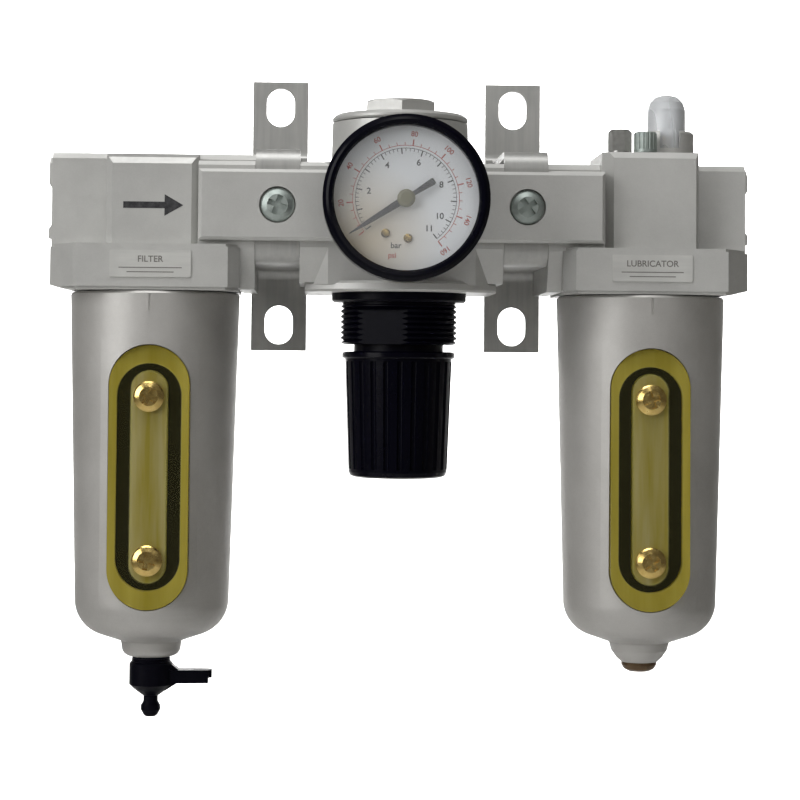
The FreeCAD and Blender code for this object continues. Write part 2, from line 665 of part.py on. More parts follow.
def make_dome_ring():
    """Guard ring that holds the dome, with a window cut in its front."""
    profile = [(DOME_R + 0.3, HEAD_TOP + 2.2), (DOME_R + 1.2, HEAD_TOP + 2.2),
               (DOME_R + 1.2, HEAD_TOP), (DOME_RING_R, HEAD_TOP), (DOME_RING_R, DOME_RING_TOP - 0.6),
               (DOME_RING_R - 0.6, DOME_RING_TOP), (DOME_R + 0.3, DOME_RING_TOP)]
    guard = turned(profile, DOME_X, DOME_Y)
    window = box(DOME_X - 2.9, DOME_X + 2.9, DOME_Y - 12, DOME_Y - 2, HEAD_TOP + 2.4, DOME_RING_TOP + 1)
    return guard.cut(window)


def make_drip_nozzle():
    """Small brass nozzle seen inside the dome, where each oil drop forms."""
    profile = [(0.6, 9.2), (3.6, 9.2), (3.6, 12.0), (2.2, 13.0), (2.2, 19.0), (1.4, 22.5), (0.6, 22.5)]
    return turned(profile, DOME_X, DOME_Y)


def make_drip_screw():
    """Slotted adjusting screw with a grooved head."""
    profile = [(0, DRIP_TOP), (DRIP_R - 0.4, DRIP_TOP), (DRIP_R, DRIP_TOP - 0.4),
               (DRIP_R, HEAD_TOP + 0.5), (2.0, HEAD_TOP + 0.5), (2.0, 9.4), (0.4, 8.2), (0, 8.2)]
    screw = turned(profile, DRIP_X, DRIP_Y)
    slot = box(DRIP_X - 4, DRIP_X + 4, DRIP_Y - 0.45, DRIP_Y + 0.45, DRIP_TOP - 1.4, DRIP_TOP + 1)
    screw = screw.cut(slot)
    for rib in range(16):
        notch = cylinder(0.35, HEAD_TOP + 1.4, DRIP_TOP + 1, DRIP_X + DRIP_R + 0.05, DRIP_Y)
        screw = screw.cut(turned_about_z(notch, rib * 22.5 + 11, DRIP_X, DRIP_Y))
    return screw


def make_fill_plug():
    head = hexagon(FILL_FLATS, HEAD_TOP + 1.6, FILL_TOP, FILL_X, FILL_Y, -75.0)
    dome = turned([(0, FILL_TOP), (2.7, FILL_TOP), (3.6, FILL_TOP - 0.9),
                   (3.6, HEAD_TOP + 1), (0, HEAD_TOP + 1)],
                  FILL_X, FILL_Y)
    flange = cylinder(3.3, HEAD_TOP, HEAD_TOP + 1.7, FILL_X, FILL_Y)
    stem = cylinder(2.0, 8.6, HEAD_TOP + 1, FILL_X, FILL_Y)
    return head.common(dome).fuse([flange, stem])


# ------------------------------------------------------------------ regulator

def regulator_block():
    half = MODULE_HALF
    outline = [(-24.2, BODY_REAR - 2), (-22.2, BODY_REAR), (22.2, BODY_REAR), (24.2, BODY_REAR - 2),
               (24.2, JOINT_FRONT + 4.0), (20.4, JOINT_FRONT), (-20.4, JOINT_FRONT),
               (-24.2, JOINT_FRONT + 4.0)]
    block = prism_z(outline, FLANGE_TOP - 1, JOINT_TOP)
    bottom = FLANGE_TOP - 0.4
    side = [(BODY_REAR, bottom), (BODY_REAR, JOINT_TOP), (JOINT_FRONT + 1.2, JOINT_TOP),
            (JOINT_FRONT, JOINT_TOP - 1.2), (JOINT_FRONT, -11.5), (JOINT_FRONT + 4, bottom)]
    return block.fuse(prism_x(side, -half, half))


def regulator_flange():
    """Bottom flange with a shallow bowed front, straight sides and rounded lower edge."""
    bow_y = FLANGE_FRONT + FLANGE_BOW_R
    bow = turned([(0, FLANGE_TOP), (FLANGE_BOW_R - 0.7, FLANGE_TOP), (FLANGE_BOW_R, FLANGE_TOP - 0.7),
                  (FLANGE_BOW_R, FLANGE_BOTTOM + 0.6), (FLANGE_BOW_R - 0.6, FLANGE_BOTTOM),
                  (0, FLANGE_BOTTOM)], 0, bow_y)
    outline = [(-FLANGE_HALF, -38.0), (-FLANGE_HALF + 5, -60), (FLANGE_HALF - 5, -60), (FLANGE_HALF, -38.0),
               (FLANGE_HALF, -8.0), (FLANGE_HALF - 4, BODY_REAR), (-FLANGE_HALF + 4, BODY_REAR),
               (-FLANGE_HALF, -8.0)]
    return bow.common(prism_z(outline, -40, 0))


def regulator_passages():
    """Valve chamber, seat, outlet duct, diaphragm chamber and the two joint openings."""
    valve_chamber = cylinder(7.6, -4.0, TOWER_TOP + 1)
    seat = cylinder(4.6, -7.0, -3.0)
    outlet_space = cylinder(7.0, -13.0, -6.0)
    stem_guide = cylinder(1.8, -18.0, -12.0)
    chamber = cylinder(14.5, FLANGE_BOTTOM - 1, -17.0)
    seat_recess = cylinder(DIAPHRAGM_R + 0.3, FLANGE_BOTTOM - 1, FLANGE_BOTTOM + 0.8)
    inlet = cylinder_x(PASSAGE_R, -MODULE_HALF - 1, -7.0)
    outlet = cylinder_x(PASSAGE_R, 14.5, MODULE_HALF + 1)
    outlet_down = cylinder(4.4, -12.0, 0, 19.0)
    outlet_cross = cylinder_x(2.9, 0.0, 19.0, AXIS_Y, -9.6)
    return [valve_chamber, seat, outlet_space, stem_guide, chamber, seat_recess, inlet,
            outlet, outlet_down, outlet_cross]


def make_regulator_body():
    low = JOINT_TOP - 1.6
    tower = turned([(0, low), (TOWER_R + 0.3, low), (TOWER_R, TOWER_TOP), (0, TOWER_TOP)])
    body = regulator_block().fuse([tower, regulator_flange()])
    gauge_port = cylinder_y(4.9, JOINT_FRONT - 1, -36.0, 0, GAUGE_Z)
    rear_port = cylinder_y(4.9, -13.0, BODY_REAR + 1, 0, GAUGE_Z)
    cap_thread = cylinder(12.1, 17.0, TOWER_TOP + 1)
    cuts = regulator_passages() + bonnet_screw_holes()
    return cut_each(body, cuts + [gauge_port, rear_port, cap_thread])


def bonnet_screw_holes():
    """Blind holes in the regulator underside for the four bonnet screws."""
    bottom = FLANGE_BOTTOM - 2.5
    top = FLANGE_BOTTOM + 3.0
    return [cylinder(1.35, bottom, top, *spot) for spot in bonnet_screw_spots()]


def bonnet_screw_spots():
    """Four small screws hold the bonnet from inside its flange."""
    spots = []
    for corner in range(4):
        angle = math.radians(45 + corner * 90)
        spots.append((16.4 * math.cos(angle), AXIS_Y + 16.4 * math.sin(angle)))
    return spots


def make_valve_cap():
    """Hexagon-headed plug that closes the valve chamber from above."""
    disc = turned([(0, TOWER_TOP + 0.35), (TOWER_R - 0.4, TOWER_TOP + 0.35), (TOWER_R, TOWER_TOP + 0.8),
                   (TOWER_R, CAP_TOP - 1.0), (TOWER_R - 1.1, CAP_TOP - 0.1), (0, CAP_TOP)])
    hex_head = hexagon(HEX_FLATS, CAP_TOP - 1, HEX_TOP)
    crown = turned([(0, HEX_TOP), (HEX_FLATS / 2 - 0.2, HEX_TOP), (HEX_FLATS / 2 + 1.6, HEX_TOP - 1.0),
                    (HEX_FLATS / 2 + 1.6, CAP_TOP - 2), (0, CAP_TOP - 2)])
    thread = cylinder(12.0, 18.0, TOWER_TOP + 1)
    groove = ring(11.4, 12.5, 21.6, 23.2)
    bore = cylinder(6.2, 17.0, 22.5)
    return disc.fuse([hex_head.common(crown), thread]).cut(groove.fuse(bore))


def make_valve_cap_seal():
    return ring(12.4, 17.0, TOWER_TOP + 0.05, TOWER_TOP + 0.3)


def make_valve_poppet():
    """Rubber-faced valve with its push stem; it lifts off the seat upwards."""
    profile = [(0, 10.0), (1.6, 10.0), (1.6, -0.4), (6.6, -0.4), (6.6, -3.9), (4.2, -3.9), (4.2, -5.0),
               (1.5, -5.0), (1.5, -20.2), (0, -20.2)]
    return turned(profile)


def make_valve_spring():
    return coil(4.6, 0.55, 0.3, 21.6, 6.0)


def make_diaphragm():
    """Rubber ring held between the body flange and the bonnet."""
    rubber = ring(PLATE_R + 0.4, DIAPHRAGM_R, FLANGE_BOTTOM, FLANGE_BOTTOM + 0.75)
    return cut_each(rubber, bonnet_screw_holes())


def make_diaphragm_plate():
    top = FLANGE_BOTTOM + 1.6
    profile = [(0, top + 1.5), (3.0, top + 1.5), (3.4, top), (PLATE_R - 0.8, top), (PLATE_R, top - 0.6),
               (PLATE_R, top - 2.4), (9.6, top - 2.6), (9.6, top - 3.4), (6.6, top - 3.4), (6.6, top - 2.6),
               (0, top - 2.6)]
    return turned(profile)


def make_adjusting_spring():
    return coil(8.1, 0.9, -36.4, -26.9, 3.5)


def make_spring_nut():
    nut = ring(3.6, 9.6, -41.0, -37.4)
    for flat in (-1, 1):
        middle = AXIS_Y + flat * 11.1
        nut = nut.cut(box(-12, 12, middle - 2.1, middle + 2.1, -42, -36))
    return nut


def make_adjusting_screw():
    shaft = cylinder(3.5, -56.0, -30.0)
    collar = cylinder(7.0, -44.0, -42.2)
    drive = hexagon(8.0, -64.0, -49.6)
    screw = shaft.fuse([collar, drive])
    for groove in range(8):
        groove_z = -31.0 - groove * 1.25
        screw = screw.cut(ring(3.15, 4.2, groove_z - 0.5, groove_z))
    return screw


def panel_thread():
    """Cylinder with ring grooves standing for the fine panel-mounting thread."""
    radius = PANEL_THREAD_R
    profile = [(0, BONNET_FLANGE_BOTTOM + 1), (radius - 0.5, BONNET_FLANGE_BOTTOM + 1),
               (radius - 0.5, BONNET_FLANGE_BOTTOM - 0.7)]
    z = BONNET_FLANGE_BOTTOM - 1.0
    while z - PANEL_THREAD_PITCH > PANEL_THREAD_BOTTOM:
        profile += [(radius, z), (radius, z - 0.3), (radius - 0.75, z - 0.75), (radius, z - 1.3)]
        z -= PANEL_THREAD_PITCH
    profile += [(radius, PANEL_THREAD_BOTTOM + 0.5), (radius - 0.9, PANEL_THREAD_BOTTOM),
                (0, PANEL_THREAD_BOTTOM)]
    return turned(profile)


def make_bonnet():
    """Black spring housing: flange, panel thread with a flat, and a neck inside the knob."""
    flange = turned([(0, FLANGE_BOTTOM), (BONNET_FLANGE_R, FLANGE_BOTTOM),
                     (BONNET_FLANGE_R, BONNET_FLANGE_BOTTOM + 0.5),
                     (BONNET_FLANGE_R - 0.6, BONNET_FLANGE_BOTTOM), (0, BONNET_FLANGE_BOTTOM)])
    neck = cylinder(BONNET_NECK_R, -47.2, PANEL_THREAD_BOTTOM + 1)
    bonnet = flange.fuse([panel_thread(), neck])
    flat = box(-7.3, 7.3, AXIS_Y - 20, AXIS_Y - PANEL_THREAD_R + 1.75, -38.3, -28.4)
    flat.rotate(Vector(0, AXIS_Y, 0), Vector(0, 0, 1), -20)
    bore = turned([(0, FLANGE_BOTTOM + 1), (13.4, FLANGE_BOTTOM + 1), (13.4, -26.6), (9.9, -26.6),
                   (9.9, -44.2), (3.9, -44.2), (3.9, -48.0), (0, -48.0)])
    bonnet = bonnet.cut(bore.fuse(flat))
    keys = box(-3, 3, AXIS_Y - 10.4, AXIS_Y + 10.4, -42.0, -30.0)
    keys = keys.cut(box(-4, 4, AXIS_Y - 9.3, AXIS_Y + 9.3, -43, -29))
    return cut_each(bonnet.fuse(keys), bonnet_screw_holes())


def make_bonnet_screws():
    """Four short screws; their sunk heads sit inside the bonnet flange."""
    screws = []
    for x, y in bonnet_screw_spots():
        screws.append(cylinder(1.3, FLANGE_BOTTOM - 2.4, FLANGE_BOTTOM + 2.7, x, y))
    return Part.makeCompound(screws)


def make_knob():
    """Pull-to-turn knob: locked when pushed up, free when pulled down."""
    profile = [(0, KNOB_TOP), (KNOB_RIM_R - 0.4, KNOB_TOP), (KNOB_RIM_R, KNOB_TOP - 0.4),
               (KNOB_RIM_R, KNOB_RIM_BOTTOM + 0.4), (KNOB_RIM_R - 0.4, KNOB_RIM_BOTTOM),
               (KNOB_TOP_R, KNOB_RIM_BOTTOM), (KNOB_LOW_R, KNOB_BOTTOM + 1.6),
               (KNOB_LOW_R - 0.5, KNOB_BOTTOM + 0.5), (KNOB_LOW_R - 1.6, KNOB_BOTTOM), (0, KNOB_BOTTOM)]
    knob = turned(profile)
    cavity = cylinder(BONNET_NECK_R + 0.6, -49.4, KNOB_TOP + 1)
    socket = hexagon(8.3, -66.5, -48.0)
    knob = knob.cut(cavity.fuse(socket))
    for flute in range(KNOB_FLUTES):
        groove = cylinder(0.9, KNOB_BOTTOM + 2.4, KNOB_RIM_BOTTOM - 0.8, KNOB_TOP_R + 0.15)
        groove.rotate(Vector(KNOB_TOP_R, AXIS_Y, KNOB_RIM_BOTTOM), Vector(0, 1, 0), 2.05)
        knob = knob.cut(turned_about_z(groove, flute * 360 / KNOB_FLUTES, 0))
    return knob


def make_rear_port_plug():
    """Sealing plug in the unused gauge port at the back."""
    plug = cylinder_y(4.85, -11.5, BODY_REAR, 0, GAUGE_Z)
    return plug.cut(hexagon_y(5.0, -8.0, BODY_REAR + 1, 0, GAUGE_Z))


# ------------------------------------------------------------------ pressure gauge

def make_gauge_case():
    profile = [(0, GAUGE_BACK), (17.5, GAUGE_BACK), (20.0, GAUGE_BACK - 1.6), (20.6, GAUGE_BACK - 3.0),
               (20.6, -72.4), (19.6, -72.4), (19.6, GAUGE_BACK - 4.2), (0, GAUGE_BACK - 4.2)]
    case = turned_y(profile, 0, GAUGE_Z)
    return case.cut(cylinder_y(3.6, GAUGE_BACK - 6, GAUGE_BACK + 1, 0, GAUGE_Z))


def make_gauge_bezel():
    profile = [(GAUGE_WINDOW_R, GAUGE_FRONT + 1.0), (GAUGE_WINDOW_R + 0.5, GAUGE_FRONT + 0.2),
               (GAUGE_WINDOW_R + 1.4, GAUGE_FRONT), (GAUGE_R - 0.9, GAUGE_FRONT + 0.3),
               (GAUGE_R, GAUGE_FRONT + 1.4), (GAUGE_R, -66.0), (20.9, -66.0), (20.9, -73.6),
               (GAUGE_WINDOW_R, -73.6)]
    return turned_y(profile, 0, GAUGE_Z)


def make_gauge_lens():
    return cylinder_y(20.3, -73.5, -72.5, 0, GAUGE_Z)


def make_gauge_dial():
    dial = cylinder_y(19.45, DIAL_FACE, DIAL_FACE + 0.6, 0, GAUGE_Z)
    holes = [cylinder_y(1.0, DIAL_FACE - 1, DIAL_FACE + 2, 0, GAUGE_Z)]
    for x, z in dial_screw_spots():
        holes.append(cylinder_y(0.75, DIAL_FACE - 1, DIAL_FACE + 2, x, z))
    return dial.cut(holes[0].fuse(holes[1:]))


def dial_screw_spots():
    return [(-5.4, GAUGE_Z - 9.3), (0.6, GAUGE_Z - 10.6)]


def make_dial_screws():
    screws = []
    for x, z in dial_screw_spots():
        head = turned_y([(0, DIAL_FACE - 0.75), (0.8, DIAL_FACE - 0.7), (1.2, DIAL_FACE - 0.35),
                         (1.2, DIAL_FACE), (0.7, DIAL_FACE), (0.7, DIAL_FACE + 3.0),
                         (0, DIAL_FACE + 3.0)], x, z)
        slot = box(x - 2, x + 2, DIAL_FACE - 2, DIAL_FACE - 0.45, z - 0.15, z + 0.15)
        slot.rotate(Vector(x, 0, z), Vector(0, 1, 0), 35)
        screws.append(head.cut(slot))
    return Part.makeCompound(screws)


def make_gauge_pointer():
    """Tapered needle with a counterweight tail, hub and spindle."""
    face = DIAL_FACE - 1.2
    outline = [(-POINTER_TAIL, -0.75), (-POINTER_TAIL + 0.5, -0.95), (-2.4, -0.6), (3.0, -0.95),
               (POINTER_LENGTH - 5.5, -0.6), (POINTER_LENGTH, -0.12), (POINTER_LENGTH, 0.12),
               (POINTER_LENGTH - 5.5, 0.6), (3.0, 0.95), (-2.4, 0.6), (-POINTER_TAIL + 0.5, 0.95),
               (-POINTER_TAIL, 0.75)]
    needle = prism_y([(x, z + GAUGE_Z) for x, z in outline], face - 0.4, face)
    needle.rotate(Vector(0, 0, GAUGE_Z), Vector(0, 1, 0), -POINTER_ANGLE)
    hub = turned_y([(0, face - 0.9), (1.6, face - 0.9), (2.4, face - 0.5), (2.4, face + 0.5),
                    (0.7, face + 0.5), (0.7, DIAL_FACE + 4.4), (0, DIAL_FACE + 4.4)], 0, GAUGE_Z)
    return needle.fuse(hub)


def make_gauge_movement():
    """Plate with the toothed sector housing behind the dial."""
    plate = rounded_slab_y(6.0, GAUGE_Z - 12.5, GAUGE_Z + 5.0, 2.0, -65.4, -64.2)
    pillar = cylinder_y(1.5, -64.4, GAUGE_BACK - 4.2, -3.5, GAUGE_Z - 8.0)
    pillar = pillar.fuse(cylinder_y(1.5, -64.4, GAUGE_BACK - 4.2, 3.5, GAUGE_Z - 8.0))
    shaft_clearance = cylinder_y(1.0, -67, -60, 0, GAUGE_Z)
    return plate.fuse(pillar).cut(shaft_clearance)


def make_bourdon_tube():
    """C-shaped pressure tube around the movement."""
    tube = Part.makeTorus(14.5, 1.3, Vector(0, -61.5, GAUGE_Z), Vector(0, 1, 0))
    gap = prism_y([(0, GAUGE_Z), (30, GAUGE_Z - 4), (30, GAUGE_Z - 30), (4, GAUGE_Z - 30)], -64, -58)
    return tube.cut(gap)


def make_gauge_stem():
    """Threaded stem with a square, from the body into the gauge case."""
    stem = cylinder_y(4.8, -50.0, -38.0, 0, GAUGE_Z)
    square = box(-5.6, 5.6, GAUGE_BACK + 0.05, -47.6, GAUGE_Z - 5.6, GAUGE_Z + 5.6)
    spigot = cylinder_y(3.5, GAUGE_BACK - 4.0, -50.0, 0, GAUGE_Z)
    bore = cylinder_y(1.5, -58.0, -37.0, 0, GAUGE_Z)
    return stem.fuse([square, spigot]).cut(bore)


# ------------------------------------------------------------------ joints and brackets

def make_clamp_plate(x):
    """Front plate that draws two modules together; its back carries a raised pad."""
    left = x - CLAMP_HALF_LENGTH
    right = x + CLAMP_HALF_LENGTH
    high = CLAMP_HALF_HEIGHT
    edge = 0.9
    outline = [(CLAMP_FRONT, -high + edge), (CLAMP_FRONT + edge, -high), (JOINT_FRONT, -high),
               (JOINT_FRONT, high), (CLAMP_FRONT + edge, high), (CLAMP_FRONT, high - edge)]
    plan = [(left, JOINT_FRONT), (left, CLAMP_FRONT + edge), (left + edge, CLAMP_FRONT),
            (right - edge, CLAMP_FRONT), (right, CLAMP_FRONT + edge), (right, JOINT_FRONT)]
    plate = prism_x(outline, left, right).common(prism_z(plan, -high, high))
    hole = cylinder_y(CLAMP_SCREW_R + 0.3, CLAMP_FRONT - 1, JOINT_FRONT + 1, x, 0)
    counterbore = cylinder_y(CLAMP_SCREW_HEAD_R + 0.4, CLAMP_FRONT - 1, CLAMP_FRONT + 2.1, x, 0)
    return plate.cut(hole.fuse(counterbore))


def make_clamp_screw(x, turn):
    return pan_screw(CLAMP_SCREW_HEAD_R, CLAMP_SCREW_R, CLAMP_FRONT - 0.6, CLAMP_FRONT + 2.1, -35.8,
                     x, 0, turn)


def make_clamp_screws():
    return Part.makeCompound([make_clamp_screw(-JOINT_X, 20), make_clamp_screw(JOINT_X, 55)])


def make_spacer(x):
    """Flow spacer between two modules, with a seal groove on each face."""
    front = WEB_FRONT + SHEET
    half = SPACER_HALF - 0.1
    side = [(BODY_REAR - 1, -12.6), (BODY_REAR - 1, 12.6), (front + 4.2, 12.6), (front, 8.4),
            (front, -8.4), (front + 4.2, -12.6)]
    spacer = prism_x(side, x - half, x + half)
    passage = cylinder_x(PASSAGE_R, x - half - 1, x + half + 1)
    screw_hole = cylinder_y(CLAMP_SCREW_R + 0.05, front - 1, -35.2, x, 0)
    grooves = [cylinder_x(10.4, face - 1.4, face + 1.4).cut(cylinder_x(8.0, face - 2, face + 2))
               for face in (x - half, x + half)]
    return spacer.cut(passage.fuse(grooves + [screw_hole]))


def make_spacer_seals():
    """Four rings, one in each spacer groove."""
    half = SPACER_HALF - 0.1
    seals = []
    for x in (-JOINT_X, JOINT_X):
        for side in (-1, 1):
            centre = Vector(x + side * (half - 0.72), AXIS_Y, 0)
            seals.append(Part.makeTorus(9.2, 0.6, centre, Vector(1, 0, 0)))
    return Part.makeCompound(seals)


def bracket_sheet(x):
    """Bent strip: tab, leg, web, leg, tab, before the slots are cut."""
    leg_in = LEG_Z - SHEET
    web_back = WEB_FRONT + SHEET
    upper = [(0, TAB_END_Z), (-SHEET, TAB_END_Z), (-SHEET, LEG_Z), (WEB_FRONT, LEG_Z)]
    back = [(web_back, leg_in), (0, leg_in)]
    outline = upper + [(y, -z) for y, z in reversed(upper)]
    outline += [(y, -z) for y, z in reversed(back)] + back
    sheet = prism_x(outline, x - TAB_HALF, x + TAB_HALF)
    sheet = rounded_bends(sheet, WEB_FRONT, LEG_Z, BEND_R)
    sheet = rounded_bends(sheet, web_back, leg_in, BEND_R - SHEET)
    sheet = rounded_bends(sheet, -SHEET, LEG_Z, WALL_BEND_R)
    return rounded_bends(sheet, 0, leg_in, WALL_BEND_R + SHEET)


def rounded_bends(sheet, y, z, radius):
    """Round the two sheet edges at depth y and heights +z and -z."""
    edges = [edge for edge in sheet.Edges if abs(edge.CenterOfMass.y - y) < 0.01
             and abs(abs(edge.CenterOfMass.z) - z) < 0.01 and edge.BoundBox.YLength < 0.01
             and edge.BoundBox.ZLength < 0.01]
    return sheet.makeFillet(radius, edges)


def make_bracket(x):
    """Hat-shaped sheet bracket with a slotted tab above and below."""
    sheet = bracket_sheet(x)
    for side in (-1, 1):
        inner = x + side * LEG_HALF
        outer = x + side * (TAB_HALF + 1)
        waste = box(min(inner, outer), max(inner, outer), -60, -SHEET - 0.6, -40, 40)
        sheet = sheet.cut(waste)
    for z in (-SLOT_Z, SLOT_Z):
        slot = stadium_y(SLOT_HALF_WIDTH, z - SLOT_LENGTH / 2, z + SLOT_LENGTH / 2, -10, 1, x)
        sheet = sheet.cut(slot)
    return sheet.cut(cylinder_y(CLAMP_SCREW_R + 0.35, -60, -30, x, 0)).removeSplitter()


def make_label_plates():
    """Two thin blank rating plates, one on the front of each collar."""
    plates = []
    for x in (-PITCH, PITCH):
        plates.append(rounded_slab_y(11.1, -20.3, -12.9, 0.5, COLLAR_FRONT - 0.35, COLLAR_FRONT, x))
    return Part.makeCompound(plates)


# ------------------------------------------------------------------ output

def all_parts():
    return {
        "filter_body": make_filter_body(),
        "filter_deflector": make_filter_deflector(),
        "filter_element": make_filter_element(),
        "filter_baffle": make_filter_baffle(),
        "filter_stud": make_filter_stud(),
        "filter_bowl": make_filter_bowl(),
        "filter_bowl_seal": make_bowl_seal(-PITCH),
        "filter_sight_gasket": make_sight_gasket(-PITCH),
        "filter_sight_glass": make_sight_glass(-PITCH),
        "filter_sight_screws": make_sight_screws(-PITCH, (30, 12)),
        "drain_cock_body": make_drain_cock_body(),
        "drain_cock_seal": make_drain_seal(),
        "drain_cock_lever": make_drain_cock_lever(),
        "regulator_body": make_regulator_body(),
        "valve_cap": make_valve_cap(),
        "valve_cap_seal": make_valve_cap_seal(),
        "valve_spring": make_valve_spring(),
        "valve_poppet": make_valve_poppet(),
        "diaphragm": make_diaphragm(),
        "diaphragm_plate": make_diaphragm_plate(),
        "adjusting_spring": make_adjusting_spring(),
        "spring_nut": make_spring_nut(),
        "adjusting_screw": make_adjusting_screw(),
        "bonnet": make_bonnet(),
        "bonnet_screws": make_bonnet_screws(),
        "knob": make_knob(),
        "rear_port_plug": make_rear_port_plug(),
        "gauge_case": make_gauge_case(),
        "gauge_bezel": make_gauge_bezel(),
        "gauge_lens": make_gauge_lens(),
        "gauge_dial": make_gauge_dial(),
        "gauge_dial_screws": make_dial_screws(),
        "gauge_pointer": make_gauge_pointer(),
        "gauge_movement": make_gauge_movement(),
        "bourdon_tube": make_bourdon_tube(),
        "gauge_stem": make_gauge_stem(),
        "left_clamp_plate": make_clamp_plate(-JOINT_X),
        "right_clamp_plate": make_clamp_plate(JOINT_X),
        "clamp_screws": make_clamp_screws(),
        "left_spacer": make_spacer(-JOINT_X),
        "right_spacer": make_spacer(JOINT_X),
        "spacer_seals": make_spacer_seals(),
        "left_bracket": make_bracket(-JOINT_X),
        "right_bracket": make_bracket(JOINT_X),
        "label_plates": make_label_plates(),
        "lubricator_body": make_lubricator_body(),
        "siphon_tube": make_siphon_tube(),
        "oil_strainer": make_oil_strainer(),
        "flow_damper": make_flow_damper(),
        "sight_dome": make_sight_dome(),
        "dome_ring": make_dome_ring(),
        "drip_nozzle": make_drip_nozzle(),
        "drip_screw": make_drip_screw(),
        "fill_plug": make_fill_plug(),
        "lubricator_bowl": make_lubricator_bowl(),
        "lubricator_bowl_seal": make_bowl_seal(PITCH),
        "lubricator_sight_gasket": make_sight_gasket(PITCH),
        "lubricator_sight_glass": make_sight_glass(PITCH),
        "lubricator_sight_screws": make_sight_screws(PITCH, (-20, -35)),
        "drain_plug": make_drain_plug(),
    }


os.makedirs("parts", exist_ok=True)
for name, shape in all_parts().items():
    if not shape.isValid():
        raise RuntimeError("invalid shape: " + name)
    shape.exportStep(os.path.join("parts", name + ".step"))
    print(name, round(shape.Volume, 1), len(shape.Solids))
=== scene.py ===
import json
import math

import bpy
import bmesh
from mathutils import Matrix, Vector


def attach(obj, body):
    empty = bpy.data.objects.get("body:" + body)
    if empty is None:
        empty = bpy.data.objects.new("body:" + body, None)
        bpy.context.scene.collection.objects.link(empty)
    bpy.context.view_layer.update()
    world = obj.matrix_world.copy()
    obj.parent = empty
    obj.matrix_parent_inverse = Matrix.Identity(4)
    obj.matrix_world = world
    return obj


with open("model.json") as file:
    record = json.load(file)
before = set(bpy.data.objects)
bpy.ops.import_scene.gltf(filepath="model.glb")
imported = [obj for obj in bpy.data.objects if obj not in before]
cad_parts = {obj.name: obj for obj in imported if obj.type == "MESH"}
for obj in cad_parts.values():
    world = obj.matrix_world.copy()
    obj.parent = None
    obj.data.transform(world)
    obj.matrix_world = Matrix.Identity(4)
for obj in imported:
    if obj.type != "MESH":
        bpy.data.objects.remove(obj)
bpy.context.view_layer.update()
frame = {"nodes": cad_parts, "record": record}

NODES = frame["nodes"]
MM = 0.001

# ---- places shared with the CAD model, in millimetres ----
PITCH = 69.0                    # from the middle of the row to the axis of either bowl
GAUGE_Z = 0.5                   # height of the gauge axis
DIAL_FACE = -70.0               # depth of the printed side of the dial
BLOCK_FACE = -43.0              # depth of the plain front of the filter block
LABEL_FACE = -50.75             # depth of the front of the label plates
WINDOW_MIDDLE = -74.85          # height of the middle of both windows

# ---- zones with a soft edge, in millimetres: (half of the straight length,) inner and outer radius ----
CLOUDED_ZONE = (24.0, 4.5, 5.2)
CLEAR_ZONE = (22.2, 8.7, 9.0)
POINTER_HUB_R = (2.4, 2.5)

# ---- warm tint of the dial: it fades to nothing at 1 / TINT_SCALE metres from its centre ----
TINT_SCALE = 42.0
TINT_CENTRE = (-14.0, DIAL_FACE, -12.0)

# ---- camera: place in millimetres, turns in radians ----
CAMERA_MM = (-24.98, -656.85, -43.84)
CAMERA_YAW = 0.0399
CAMERA_PITCH = 0.0450
CAMERA_ROLL = 0.0080
LENS_MM = 99.6
SENSOR_MM = 36.0
SHIFT = (0.00035, -0.168)

# ---- dial scales: angles in degrees, sizes in millimetres; pairs are for long and short ticks ----
DIAL_ZERO = 218.5               # angle of the zero mark, from +X towards +Z
DEGREES_PER_BAR = 24.6
ARC_STEP = 4                    # turn of one straight piece of a ring, roughly

BAR_TOP = 11
TICKS_PER_BAR = 5
BAR_RING_R = 13.4
BAR_RING_WIDTH = 0.14
BAR_TICK_START = (11.9, 12.6)
BAR_TICK_WIDTH = (0.32, 0.16)
BAR_LABELS = (2, 4, 6, 8, 10, 11)
BAR_LABEL_R = 10.1
BAR_LABEL_SIZE = 2.3

BAR_PER_PSI = 0.0689
PSI_TOP = 160
PSI_PER_TICK = 5
PSI_TICKS_PER_LONG = 4
PSI_RING_R = 14.15
PSI_RING_WIDTH = 0.16
PSI_TICK_START = 14.3
PSI_TICK_END = (15.9, 15.1)
PSI_TICK_WIDTH = (0.34, 0.18)
PSI_LABELS = (20, 40, 60, 80, 100, 120, 140, 160)
PSI_LABEL_R = 17.3
PSI_LABEL_SIZE = 1.9

# ---- thickness of the print and weight of its letters, in millimetres ----
SCALE_RISE = 0.05
ARROW_RISE = 0.06
LABEL_RISE = 0.02
LETTER_RISE = 0.02
LETTER_BOLD = 0.04

# ---- flow arrow, in millimetres from its middle ----
ARROW_TAIL = -8.2
ARROW_NECK = 3.2
ARROW_TIP = 8.4
ARROW_SHAFT = 0.9
ARROW_HEAD = 3.0

# ---- label print, in millimetres: height and half length of each line ----
LABEL_TEXT_Z = -15.4
LABEL_TEXT_SIZE = 2.4
LABEL_LINES = ((-17.7, 8.6), (-18.9, 6.4))
LABEL_LINE_HALF = 0.13

# ---- studio, in metres and watts ----
FLOOR_Z = -0.90
SWEEP_FRONT = -7.0
SWEEP_BEND_Y = 1.2
SWEEP_BEND_R = 1.2
SWEEP_BEND_STEPS = 12
SWEEP_TOP = 4.0
SWEEP_HALF_WIDTH = 5.0
LIGHT_AIM = (0.0, -0.03, -0.05)
WORLD_COLOUR = (1.0, 0.95, 0.86, 1.0)
WORLD_STRENGTH = 0.10

# ---- sockets of the Mix node that carry colours ----
MIX_COLOUR_A = 6
MIX_COLOUR_B = 7
MIX_COLOUR_OUT = 2

